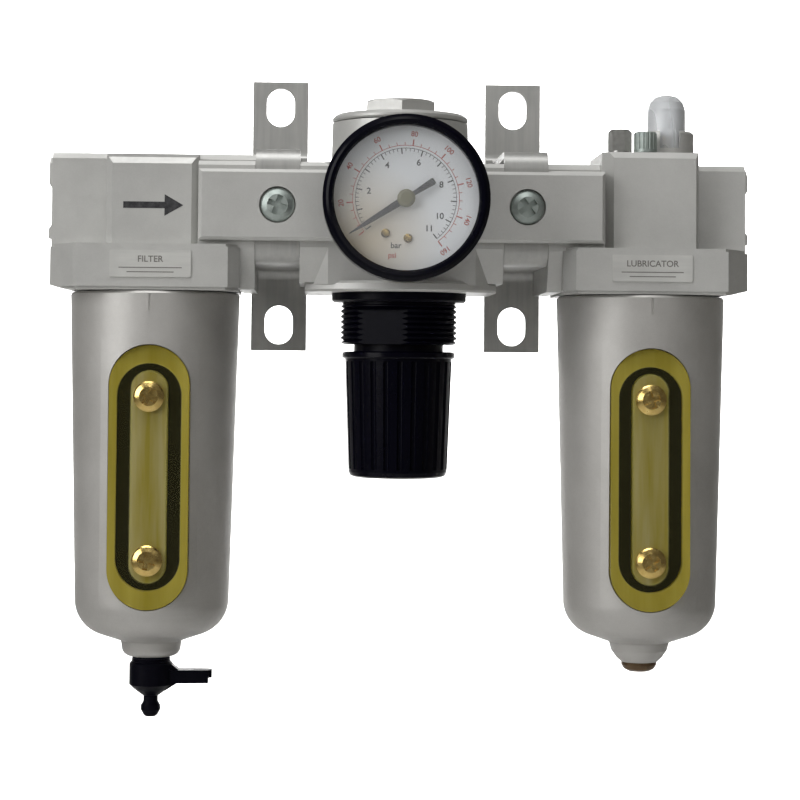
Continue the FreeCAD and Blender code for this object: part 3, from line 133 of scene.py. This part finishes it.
# ---- stretch of a noise that draws fine lines along one axis ----
LINES_ALONG_X = (0.08, 1.0, 1.0)
LINES_ALONG_Y = (1.0, 0.2, 1.0)
LINES_ALONG_Z = (1.0, 1.0, 0.06)
TURNED_ALONG_Z = (1.0, 1.0, 0.1)
FLOW_ALONG_Z = (1.0, 1.0, 0.25)
STREAKS_ALONG_Z = (1.0, 1.0, 0.08)

MIDDLE_OF_NOISE = (0.3, 0.7)    # the span in which most values of a noise lie


# ------------------------------------------------------------------ node helpers

def times(colour, factor):
    """The colour made brighter or darker, at most 1."""
    return tuple(min(1.0, value * factor) for value in colour)


class Nodes:
    """Small helper round one material's node tree."""

    def __init__(self, name):
        self.material = bpy.data.materials.new(name)
        self.material.use_nodes = True
        self.tree = self.material.node_tree
        self.shader = self.tree.nodes["Principled BSDF"]
        self.place = self.add("ShaderNodeTexCoord").outputs["Object"]

    def add(self, kind, **values):
        node = self.tree.nodes.new(kind)
        for key, value in values.items():
            setattr(node, key, value)
        return node

    def link(self, source, target):
        self.tree.links.new(source, target)

    def drive(self, socket_name, source):
        """Link a socket to one of the shader's inputs."""
        self.link(source, self.shader.inputs[socket_name])

    def set(self, **values):
        """Constant shader values by socket name, with _ for a space."""
        for key, value in values.items():
            self.shader.inputs[key.replace("_", " ")].default_value = value

    def mapped(self, scale, location=(0.0, 0.0, 0.0)):
        """The object coordinates, scaled along each axis and then moved."""
        mapping = self.add("ShaderNodeMapping")
        mapping.inputs["Scale"].default_value = scale
        mapping.inputs["Location"].default_value = location
        self.link(self.place, mapping.inputs["Vector"])
        return mapping.outputs["Vector"]

    def noise(self, scale, detail=3.0, rough=0.55, place=None):
        node = self.add("ShaderNodeTexNoise")
        node.inputs["Scale"].default_value = scale
        node.inputs["Detail"].default_value = detail
        node.inputs["Roughness"].default_value = rough
        self.link(place or self.place, node.inputs["Vector"])
        return node.outputs["Fac"]

    def cells(self, scale):
        """Distance and colour of small random cells."""
        node = self.add("ShaderNodeTexVoronoi")
        node.inputs["Scale"].default_value = scale
        self.link(self.place, node.inputs["Vector"])
        return node.outputs["Distance"], node.outputs["Color"]

    def ramp(self, value, span, first, second):
        """Colour that goes from first to second while the value crosses the span."""
        node = self.add("ShaderNodeValToRGB")
        for element, position, colour in zip(node.color_ramp.elements, span, (first, second)):
            element.position = position
            element.color = (*colour, 1.0)
        self.link(value, node.inputs["Fac"])
        return node.outputs["Color"]

    def remap(self, value, source, target):
        """Number that goes over the target span while the value crosses the source span."""
        node = self.add("ShaderNodeMapRange")
        node.inputs["From Min"].default_value, node.inputs["From Max"].default_value = source
        node.inputs["To Min"].default_value, node.inputs["To Max"].default_value = target
        self.link(value, node.inputs["Value"])
        return node.outputs["Result"]

    def mixed(self, factor, first, second):
        """Mix of two colours, each a socket or a constant; factor is a socket."""
        node = self.add("ShaderNodeMix", data_type="RGBA")
        self.link(factor, node.inputs["Factor"])
        for value, index in ((first, MIX_COLOUR_A), (second, MIX_COLOUR_B)):
            if isinstance(value, tuple):
                node.inputs[index].default_value = (*value, 1.0)
            else:
                self.link(value, node.inputs[index])
        return node.outputs[MIX_COLOUR_OUT]

    def bump(self, height, distance, strength, under=None):
        """Surface relief, on top of another one if that is given; distance in metres."""
        node = self.add("ShaderNodeBump")
        node.inputs["Strength"].default_value = strength
        node.inputs["Distance"].default_value = distance
        self.link(height, node.inputs["Height"])
        if under is not None:
            self.link(under, node.inputs["Normal"])
        return node.outputs["Normal"]

    def math(self, operation, first, second=None):
        """One arithmetic step on a socket; second is a number or a socket."""
        node = self.add("ShaderNodeMath", operation=operation)
        self.link(first, node.inputs[0])
        if isinstance(second, float):
            node.inputs[1].default_value = second
        elif second is not None:
            self.link(second, node.inputs[1])
        return node.outputs["Value"]

    def length(self, vector):
        node = self.add("ShaderNodeVectorMath", operation="LENGTH")
        self.link(vector, node.inputs[0])
        return node.outputs["Value"]

    def within_stadium(self, straight, inner, outer):
        """1 inside a round-ended outline at the middle of either window, 0 outside; millimetres."""
        split = self.add("ShaderNodeSeparateXYZ")
        self.link(self.place, split.inputs["Vector"])
        side = self.math("SUBTRACT", self.math("ABSOLUTE", split.outputs["X"]), PITCH * MM)
        above = self.math("SUBTRACT", split.outputs["Z"], WINDOW_MIDDLE * MM)
        past_straight = self.math("SUBTRACT", self.math("ABSOLUTE", above), straight * MM)
        joined = self.add("ShaderNodeCombineXYZ")
        self.link(side, joined.inputs["X"])
        self.link(self.math("MAXIMUM", past_straight, 0.0), joined.inputs["Z"])
        from_spine = self.length(joined.outputs["Vector"])
        return self.remap(from_spine, (inner * MM, outer * MM), (1.0, 0.0))


# ------------------------------------------------------------------ materials

def metal_paint(name, dark, light, metallic, rough):
    """Silver paint: cloudy tone, fine flakes and a slight orange-peel surface."""
    n = Nodes(name)
    tone = n.ramp(n.noise(38.0, detail=4.0, rough=0.6), MIDDLE_OF_NOISE, dark, light)
    _, flake = n.cells(3600.0)
    sparkle = n.add("ShaderNodeSeparateColor")
    n.link(flake, sparkle.inputs["Color"])
    fleck = n.remap(sparkle.outputs["Red"], (0.0, 1.0), (0.0, 0.10))
    n.drive("Base Color", n.mixed(fleck, tone, times(light, 1.25)))
    n.set(Metallic=metallic, Specular_IOR_Level=0.4, Specular_Tint=(0.6, 0.6, 0.6, 1.0))
    fine = n.noise(900.0, detail=3.0, rough=0.6)
    n.drive("Roughness", n.remap(fine, MIDDLE_OF_NOISE, rough))
    peel = n.bump(n.noise(420.0, detail=2.0, rough=0.5), distance=0.00006, strength=0.6)
    n.drive("Normal", n.bump(fine, distance=0.00003, strength=0.5, under=peel))
    return n.material


def brushed_metal(name, dark, light, rough, lines_along, metallic=1.0):
    """Metal with fine lines along one axis and a few darker stains."""
    n = Nodes(name)
    lines = n.noise(700.0, detail=4.0, rough=0.65, place=n.mapped(lines_along))
    stain = n.noise(55.0, detail=3.0, rough=0.6)
    tone = n.ramp(lines, (0.25, 0.75), dark, light)
    stained = n.remap(stain, (0.45, 0.8), (0.0, 0.55))
    n.drive("Base Color", n.mixed(stained, tone, times(dark, 0.72)))
    n.set(Metallic=metallic)
    n.drive("Roughness", n.remap(lines, (0.2, 0.8), rough))
    n.drive("Normal", n.bump(lines, distance=0.00003, strength=0.5))
    return n.material


def moulded(name, dark, light, rough, grain_scale, grain_depth, specular=0.5):
    """Moulded plastic or rubber with a fine grain and a little dust tone."""
    n = Nodes(name)
    n.drive("Base Color", n.ramp(n.noise(60.0, detail=4.0, rough=0.6), (0.3, 0.75), dark, light))
    grain = n.noise(grain_scale, detail=3.0, rough=0.6)
    n.drive("Roughness", n.remap(grain, MIDDLE_OF_NOISE, rough))
    n.drive("Normal", n.bump(grain, distance=grain_depth, strength=0.6))
    n.set(Specular_IOR_Level=specular)
    return n.material


def clear_dome():
    """Half clear moulding with faint flow marks."""
    n = Nodes("dome_moulding")
    tint = (0.92, 0.94, 0.96)
    flow = n.noise(70.0, detail=2.0, rough=0.5, place=n.mapped(FLOW_ALONG_Z))
    n.drive("Base Color", n.ramp(flow, MIDDLE_OF_NOISE, times(tint, 0.86), tint))
    n.drive("Roughness", n.remap(flow, MIDDLE_OF_NOISE, (0.20, 0.32)))
    n.drive("Normal", n.bump(flow, distance=0.0002, strength=0.25))
    n.set(Transmission_Weight=0.50, IOR=1.49)
    return n.material


def porous():
    """Sintered granules, with a painted highlight on their tops and painted shade in the gaps."""
    n = Nodes("sintered_media")
    distance, _ = n.cells(1500.0)
    # painted highlight near the middle of each cell, painted shade towards the gaps between cells
    n.drive("Base Color", n.ramp(distance, (0.1, 0.8), (0.84, 0.80, 0.70), (0.52, 0.48, 0.36)))
    n.drive("Normal", n.bump(distance, distance=0.0002, strength=0.8))
    n.set(Roughness=0.85)
    return n.material


def enamel():
    """White dial face with a warm tint that gathers low on the left."""
    n = Nodes("dial_enamel")
    moved = tuple(-TINT_SCALE * value * MM for value in TINT_CENTRE)
    tint = n.add("ShaderNodeTexGradient", gradient_type="SPHERICAL")
    n.link(n.mapped((TINT_SCALE,) * 3, moved), tint.inputs["Vector"])
    n.drive("Base Color", n.mixed(tint.outputs["Fac"], (0.80, 0.83, 0.86), (0.52, 0.42, 0.25)))
    grain = n.noise(1500.0, detail=2.0, rough=0.5)
    n.drive("Roughness", n.remap(grain, MIDDLE_OF_NOISE, (0.42, 0.55)))
    n.drive("Normal", n.bump(grain, distance=0.00001, strength=0.4))
    return n.material


def window_plastic():
    """Olive see-through moulding: clouded along the middle, frosted outside the gasket."""
    n = Nodes("olive_window")
    clouded = n.within_stadium(*CLOUDED_ZONE)
    over_gasket = n.within_stadium(*CLEAR_ZONE)
    streak = n.noise(220.0, detail=3.0, rough=0.6, place=n.mapped(STREAKS_ALONG_Z))
    frosted_tone = n.ramp(streak, MIDDLE_OF_NOISE, (0.46, 0.38, 0.05), (0.62, 0.52, 0.10))
    clear_tone = n.ramp(streak, MIDDLE_OF_NOISE, (0.90, 0.82, 0.24), (0.97, 0.92, 0.36))
    clouded_tone = n.ramp(streak, (0.35, 0.65), (0.40, 0.33, 0.06), (0.52, 0.46, 0.20))
    n.drive("Base Color", n.mixed(clouded, n.mixed(over_gasket, frosted_tone, clear_tone), clouded_tone))
    clearness = n.remap(over_gasket, (0.0, 1.0), (0.45, 0.98))
    cloudiness = n.remap(clouded, (0.0, 1.0), (0.0, 0.58))
    n.drive("Transmission Weight", n.math("SUBTRACT", clearness, cloudiness))
    n.drive("Roughness", n.remap(streak, MIDDLE_OF_NOISE, (0.03, 0.09)))
    n.drive("Normal", n.bump(streak, distance=0.0001, strength=0.25))
    n.set(IOR=1.32)
    return n.material


def thin_clear():
    """Clear flat lens that lets the light straight through."""
    n = Nodes("clear_lens")
    haze = n.noise(120.0, detail=2.0, rough=0.5)
    n.drive("Base Color", n.ramp(haze, MIDDLE_OF_NOISE, (0.86, 0.88, 0.90), (0.94, 0.95, 0.96)))
    n.drive("Roughness", n.remap(haze, MIDDLE_OF_NOISE, (0.04, 0.09)))
    n.set(Alpha=0.10, IOR=1.45)
    return n.material


def pointer_paint():
    """Black pointer whose hub is an olive-brown turned boss."""
    n = Nodes("pointer_paint")
    across = n.mapped((1.0, 0.0, 1.0), (0.0, 0.0, -GAUGE_Z * MM))
    hub_inside, hub_outside = POINTER_HUB_R
    hub = n.remap(n.length(across), (hub_inside * MM, hub_outside * MM), (1.0, 0.0))
    brown = n.ramp(n.noise(500.0), MIDDLE_OF_NOISE, (0.10, 0.095, 0.035), (0.16, 0.15, 0.06))
    n.drive("Base Color", n.mixed(hub, (0.004, 0.004, 0.006), brown))
    n.drive("Roughness", n.remap(n.noise(1400.0), MIDDLE_OF_NOISE, (0.34, 0.46)))
    return n.material


def ink(name, colour):
    n = Nodes(name)
    faded = tuple(value + 0.05 for value in colour)
    n.drive("Base Color", n.ramp(n.noise(900.0, detail=3.0, rough=0.6), (0.35, 0.8), colour, faded))
    n.set(Roughness=0.5)
    return n.material


def pale_paper():
    n = Nodes("studio_paper")
    pale = (0.93, 0.93, 0.925)
    cloud = n.noise(3.0, detail=2.0, rough=0.5)
    n.drive("Base Color", n.ramp(cloud, MIDDLE_OF_NOISE, times(pale, 0.985), pale))
    n.set(Roughness=0.9)
    return n.material


MATERIALS = {
    "cast_silver": metal_paint(
        "cast_silver_paint", dark=(0.50, 0.50, 0.485), light=(0.60, 0.60, 0.58),
        metallic=0.38, rough=(0.38, 0.50)),
    "bowl_silver": metal_paint(
        "bowl_silver_paint", dark=(0.45, 0.44, 0.42), light=(0.54, 0.53, 0.51),
        metallic=0.50, rough=(0.42, 0.54)),
    "bracket_steel": brushed_metal(
        "bracket_satin_steel", dark=(0.42, 0.42, 0.41), light=(0.52, 0.52, 0.50),
        rough=(0.34, 0.52), lines_along=LINES_ALONG_Z, metallic=0.55),
    "steel": brushed_metal(
        "zinc_plated_steel", dark=(0.34, 0.39, 0.37), light=(0.48, 0.53, 0.50),
        rough=(0.44, 0.58), lines_along=LINES_ALONG_Y, metallic=0.8),
    "brass": brushed_metal(
        "polished_brass", dark=(0.62, 0.42, 0.12), light=(0.86, 0.66, 0.26),
        rough=(0.16, 0.32), lines_along=LINES_ALONG_Y),
    "aged_bronze": brushed_metal(
        "dark_bronze", dark=(0.09, 0.055, 0.028), light=(0.17, 0.11, 0.055),
        rough=(0.30, 0.45), lines_along=LINES_ALONG_Y, metallic=0.6),
    "black_rubber": moulded(
        "black_rubber", dark=(0.002, 0.003, 0.008), light=(0.005, 0.006, 0.014),
        rough=(0.45, 0.65), grain_scale=1800.0, grain_depth=0.00003, specular=0.12),
    "black_plastic": moulded(
        "black_moulding", dark=(0.001, 0.001, 0.004), light=(0.003, 0.003, 0.007),
        rough=(0.30, 0.42), grain_scale=1400.0, grain_depth=0.00002, specular=0.08),
    "gloss_black": moulded(
        "gloss_black_moulding", dark=(0.001, 0.001, 0.004), light=(0.002, 0.002, 0.006),
        rough=(0.18, 0.26), grain_scale=1100.0, grain_depth=0.00001, specular=0.10),
    "olive_glass": window_plastic(),
    "clear_plastic": thin_clear(),
    "dial_white": enamel(),
    "filter_media": porous(),
    "inner_plastic": moulded(
        "inner_moulding", dark=(0.52, 0.52, 0.48), light=(0.68, 0.68, 0.62),
        rough=(0.40, 0.55), grain_scale=900.0, grain_depth=0.00003),
    "valve_metal": brushed_metal(
        "turned_aluminium", dark=(0.55, 0.55, 0.55), light=(0.72, 0.72, 0.72),
        rough=(0.25, 0.40), lines_along=TURNED_ALONG_Z),
    "label_foil": brushed_metal(
        "blank_foil_label", dark=(0.60, 0.60, 0.58), light=(0.70, 0.70, 0.67),
        rough=(0.36, 0.50), lines_along=LINES_ALONG_X, metallic=0.35),
}

# nodes that look different from the rest of their material slot
OWN_MATERIALS = {
    "sight_dome": clear_dome(),
    "gauge_pointer": pointer_paint(),
    # fill plug: a darker, glossier steel than the other steel parts; its darker colour is painted shade
    "fill_plug": brushed_metal(
        "fill_plug_painted_shade_steel", dark=(0.30, 0.30, 0.29), light=(0.44, 0.44, 0.42),
        rough=(0.28, 0.42), lines_along=LINES_ALONG_Y),
}


def dress_cad_nodes():
    slots = {part["node"]: part["material_slot"] for part in frame["record"]["subparts"]}
    for name, node in NODES.items():
        node.data.materials.clear()
        node.data.materials.append(OWN_MATERIALS.get(name) or MATERIALS[slots[name]])


dress_cad_nodes()

BLACK_INK = ink("black_ink", (0.015, 0.015, 0.018))
RED_INK = ink("red_ink", (0.42, 0.07, 0.05))
GREY_INK = ink("grey_ink", (0.16, 0.15, 0.14))


# ------------------------------------------------------------------ mesh helpers

def new_object(name, mesh, material, body):
    """Put a mesh into the scene and let it ride on a CAD body."""
    thing = bpy.data.objects.new(name, mesh)
    bpy.context.scene.collection.objects.link(thing)
    mesh.materials.clear()
    mesh.materials.append(material)
    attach(thing, body)
    return thing


def mesh_from(bm, name):
    mesh = bpy.data.meshes.new(name)
    bmesh.ops.recalc_face_normals(bm, faces=bm.faces)
    bm.to_mesh(mesh)
    bm.free()
    return mesh


def slab(bm, corners, front, back):
    """Closed slab from an (x, z) outline in millimetres, between two depths."""
    rings = []
    for y in (front, back):
        rings.append([bm.verts.new((x * MM, y * MM, z * MM)) for x, z in corners])
    bm.faces.new(rings[0])
    bm.faces.new(list(reversed(rings[1])))
    count = len(corners)
    for i in range(count):
        j = (i + 1) % count
        bm.faces.new((rings[0][i], rings[1][i], rings[1][j], rings[0][j]))


def tick(bm, angle, inner, outer, width):
    """Radial mark on the dial, from the inner to the outer radius."""
    direction = Vector((math.cos(math.radians(angle)), math.sin(math.radians(angle))))
    across = Vector((-direction.y, direction.x)) * width / 2
    corners = []
    for radius, side in ((inner, -1), (outer, -1), (outer, 1), (inner, 1)):
        point = direction * radius + across * side
        corners.append((point.x, point.y + GAUGE_Z))
    slab(bm, corners, DIAL_FACE - SCALE_RISE, DIAL_FACE)


def arc_line(bm, radius, width, start, end):
    """Thin curved line on the dial, in short straight pieces."""
    steps = int(abs(end - start) / ARC_STEP)
    for step in range(steps):
        a = math.radians(start + (end - start) * step / steps)
        b = math.radians(start + (end - start) * (step + 1) / steps)
        corners = []
        for r, t in ((radius, a), (radius + width, a), (radius + width, b), (radius, b)):
            corners.append((r * math.cos(t), r * math.sin(t) + GAUGE_Z))
        slab(bm, corners, DIAL_FACE - SCALE_RISE, DIAL_FACE)


def words(name, text, size, x, z, face, material, turn=0.0, bold=LETTER_BOLD):
    """Raised flat lettering that faces the front, centred at x, z; turn in radians."""
    curve = bpy.data.curves.new(name, "FONT")
    curve.body = text
    curve.size = size * MM
    curve.align_x = "CENTER"
    curve.align_y = "CENTER"
    curve.extrude = LETTER_RISE * MM
    curve.offset = bold * MM
    draft = bpy.data.objects.new(name + "_draft", curve)
    bpy.context.scene.collection.objects.link(draft)
    bpy.context.view_layer.update()
    mesh = bpy.data.meshes.new_from_object(draft.evaluated_get(bpy.context.evaluated_depsgraph_get()))
    bpy.data.objects.remove(draft)
    place = Matrix.Translation((x * MM, (face - LETTER_RISE) * MM, z * MM))
    upright = Matrix.Rotation(math.radians(90), 4, "X")
    mesh.transform(place @ Matrix.Rotation(turn, 4, "Y") @ upright)
    return new_object(name, mesh, material, "frame")


# ------------------------------------------------------------------ print on the object

def bar_angle(value):
    """Angle of a pressure on the dial, in degrees."""
    return DIAL_ZERO - DEGREES_PER_BAR * value


def build_bar_scale():
    bm = bmesh.new()
    for step in range(BAR_TOP * TICKS_PER_BAR + 1):
        kind = 0 if step % TICKS_PER_BAR == 0 else 1
        tick(bm, bar_angle(step / TICKS_PER_BAR), BAR_TICK_START[kind], BAR_RING_R, BAR_TICK_WIDTH[kind])
    arc_line(bm, BAR_RING_R, BAR_RING_WIDTH, bar_angle(0), bar_angle(BAR_TOP))
    new_object("dial_bar_scale", mesh_from(bm, "dial_bar_scale"), BLACK_INK, "frame")


def build_psi_scale():
    bm = bmesh.new()
    for step in range(PSI_TOP // PSI_PER_TICK + 1):
        kind = 0 if step % PSI_TICKS_PER_LONG == 0 else 1
        angle = bar_angle(step * PSI_PER_TICK * BAR_PER_PSI)
        tick(bm, angle, PSI_TICK_START, PSI_TICK_END[kind], PSI_TICK_WIDTH[kind])
    arc_line(bm, PSI_RING_R, PSI_RING_WIDTH, bar_angle(0), bar_angle(PSI_TOP * BAR_PER_PSI))
    new_object("dial_psi_scale", mesh_from(bm, "dial_psi_scale"), RED_INK, "frame")


def build_dial_numbers():
    """Upright numbers inside the bar scale, and numbers that follow the psi scale."""
    for value in BAR_LABELS:
        angle = math.radians(bar_angle(value))
        words("dial_bar_%d" % value, str(value), BAR_LABEL_SIZE, BAR_LABEL_R * math.cos(angle),
              BAR_LABEL_R * math.sin(angle) + GAUGE_Z, DIAL_FACE, BLACK_INK, bold=0.05)
    for value in PSI_LABELS:
        angle = math.radians(bar_angle(value * BAR_PER_PSI))
        words("dial_psi_%d" % value, str(value), PSI_LABEL_SIZE, PSI_LABEL_R * math.cos(angle),
              PSI_LABEL_R * math.sin(angle) + GAUGE_Z, DIAL_FACE, RED_INK, turn=math.radians(90) - angle)


def build_dial_units():
    words("dial_unit_bar", "bar", 2.2, -2.6, -12.6 + GAUGE_Z, DIAL_FACE, BLACK_INK)
    words("dial_unit_psi", "psi", 2.0, -3.6, -15.2 + GAUGE_Z, DIAL_FACE, RED_INK)


def build_flow_arrow():
    """Printed flow arrow on the plain face of the filter block."""
    outline = (
        (ARROW_TAIL, ARROW_SHAFT), (ARROW_TAIL, -ARROW_SHAFT), (ARROW_NECK, -ARROW_SHAFT),
        (ARROW_NECK, -ARROW_HEAD), (ARROW_TIP, 0.0), (ARROW_NECK, ARROW_HEAD), (ARROW_NECK, ARROW_SHAFT))
    bm = bmesh.new()
    slab(bm, [(x - PITCH, z) for x, z in outline], BLOCK_FACE - ARROW_RISE, BLOCK_FACE)
    new_object("flow_arrow_print", mesh_from(bm, "flow_arrow_print"), BLACK_INK, "frame")


def build_label_print():
    """One generic word and two blank lines on each label plate."""
    for name, x, text in (("filter", -PITCH, "FILTER"), ("lubricator", PITCH, "LUBRICATOR")):
        words("label_print_" + name, text, LABEL_TEXT_SIZE, x, LABEL_TEXT_Z, LABEL_FACE, GREY_INK, bold=0.03)
        bm = bmesh.new()
        for z, half in LABEL_LINES:
            low, high = z - LABEL_LINE_HALF, z + LABEL_LINE_HALF
            corners = [(x - half, low), (x + half, low), (x + half, high), (x - half, high)]
            slab(bm, corners, LABEL_FACE - LABEL_RISE, LABEL_FACE)
        new_object("label_lines_" + name, mesh_from(bm, "label_lines_" + name), GREY_INK, "frame")


build_bar_scale()
build_psi_scale()
build_dial_numbers()
build_dial_units()
build_flow_arrow()
build_label_print()


# ------------------------------------------------------------------ studio

def sweep_profile():
    """Floor, bend and upright backdrop as (y, z) points, from front to back."""
    points = [(SWEEP_FRONT, FLOOR_Z), (SWEEP_BEND_Y, FLOOR_Z)]
    for step in range(1, SWEEP_BEND_STEPS + 1):
        angle = math.radians(90 * step / SWEEP_BEND_STEPS)
        y = SWEEP_BEND_Y + SWEEP_BEND_R * math.sin(angle)
        points.append((y, FLOOR_Z + SWEEP_BEND_R * (1 - math.cos(angle))))
    points.append((SWEEP_BEND_Y + SWEEP_BEND_R, SWEEP_TOP))
    return points


def build_sweep():
    """Pale floor that curves up into a backdrop far behind the object."""
    bm = bmesh.new()
    rows = []
    for y, z in sweep_profile():
        rows.append([bm.verts.new((x, y, z)) for x in (-SWEEP_HALF_WIDTH, SWEEP_HALF_WIDTH)])
    for low, high in zip(rows, rows[1:]):
        bm.faces.new((low[0], low[1], high[1], high[0]))
    mesh = mesh_from(bm, "studio_sweep")
    for face in mesh.polygons:
        face.use_smooth = True
    sweep = bpy.data.objects.new("studio_sweep", mesh)
    bpy.context.scene.collection.objects.link(sweep)
    mesh.materials.append(pale_paper())


def area_light(name, place, target, size, power, spread=180.0):
    """Rectangular soft light that points from its place to a target; spread in degrees."""
    data = bpy.data.lights.new(name, "AREA")
    data.shape = "RECTANGLE"
    data.size, data.size_y = size
    data.energy = power
    data.spread = math.radians(spread)
    lamp = bpy.data.objects.new(name, data)
    bpy.context.scene.collection.objects.link(lamp)
    lamp.location = place
    aim = Vector(target) - Vector(place)
    lamp.rotation_mode = "QUATERNION"
    lamp.rotation_quaternion = aim.to_track_quat("-Z", "Y")


def build_lights():
    area_light("left_softbox", place=(-1.02, -0.80, 0.36), target=LIGHT_AIM, size=(0.75, 0.9), power=9.2)
    area_light("top_softbox", place=(-0.2, -0.40, 1.2), target=LIGHT_AIM, size=(0.9, 0.7), power=9.5)
    area_light("front_softbox", place=(0.35, -1.5, 0.55), target=LIGHT_AIM, size=(0.8, 0.6), power=1.9)
    area_light("floor_wash", place=(0.0, -2.6, 0.4), target=(0.0, -2.6, FLOOR_Z), size=(3.0, 2.4),
               power=10.0, spread=90.0)
    area_light("backdrop_light", place=(0.1, 1.0, 0.9), target=(0.1, 2.6, -0.1), size=(1.6, 0.6),
               power=40.0, spread=100.0)


def build_world():
    world = bpy.data.worlds.new("studio_world")
    world.use_nodes = True
    background = world.node_tree.nodes["Background"]
    background.inputs["Color"].default_value = WORLD_COLOUR
    background.inputs["Strength"].default_value = WORLD_STRENGTH
    bpy.context.scene.world = world


def camera_axes():
    """Right, up and ahead directions of the camera."""
    yaw, pitch, roll = CAMERA_YAW, CAMERA_PITCH, CAMERA_ROLL
    ahead = Vector((math.sin(yaw) * math.cos(pitch), math.cos(yaw) * math.cos(pitch), math.sin(pitch)))
    level = Vector((math.cos(yaw), -math.sin(yaw), 0.0))
    above = level.cross(ahead)
    right = level * math.cos(roll) + above * math.sin(roll)
    up = above * math.cos(roll) - level * math.sin(roll)
    return right, up, ahead


def build_camera():
    data = bpy.data.cameras.new("photo_camera")
    data.sensor_width = SENSOR_MM
    data.lens = LENS_MM
    data.shift_x, data.shift_y = SHIFT
    data.clip_start = 0.01
    data.clip_end = 50.0
    camera = bpy.data.objects.new("photo_camera", data)
    bpy.context.scene.collection.objects.link(camera)
    right, up, ahead = camera_axes()
    rows = [(right[i], up[i], -ahead[i], CAMERA_MM[i] * MM) for i in range(3)]
    camera.matrix_world = Matrix((*rows, (0.0, 0.0, 0.0, 1.0)))
    bpy.context.scene.camera = camera


build_sweep()
build_lights()
build_world()
build_camera()
bpy.context.scene.view_settings.view_transform = "Standard"
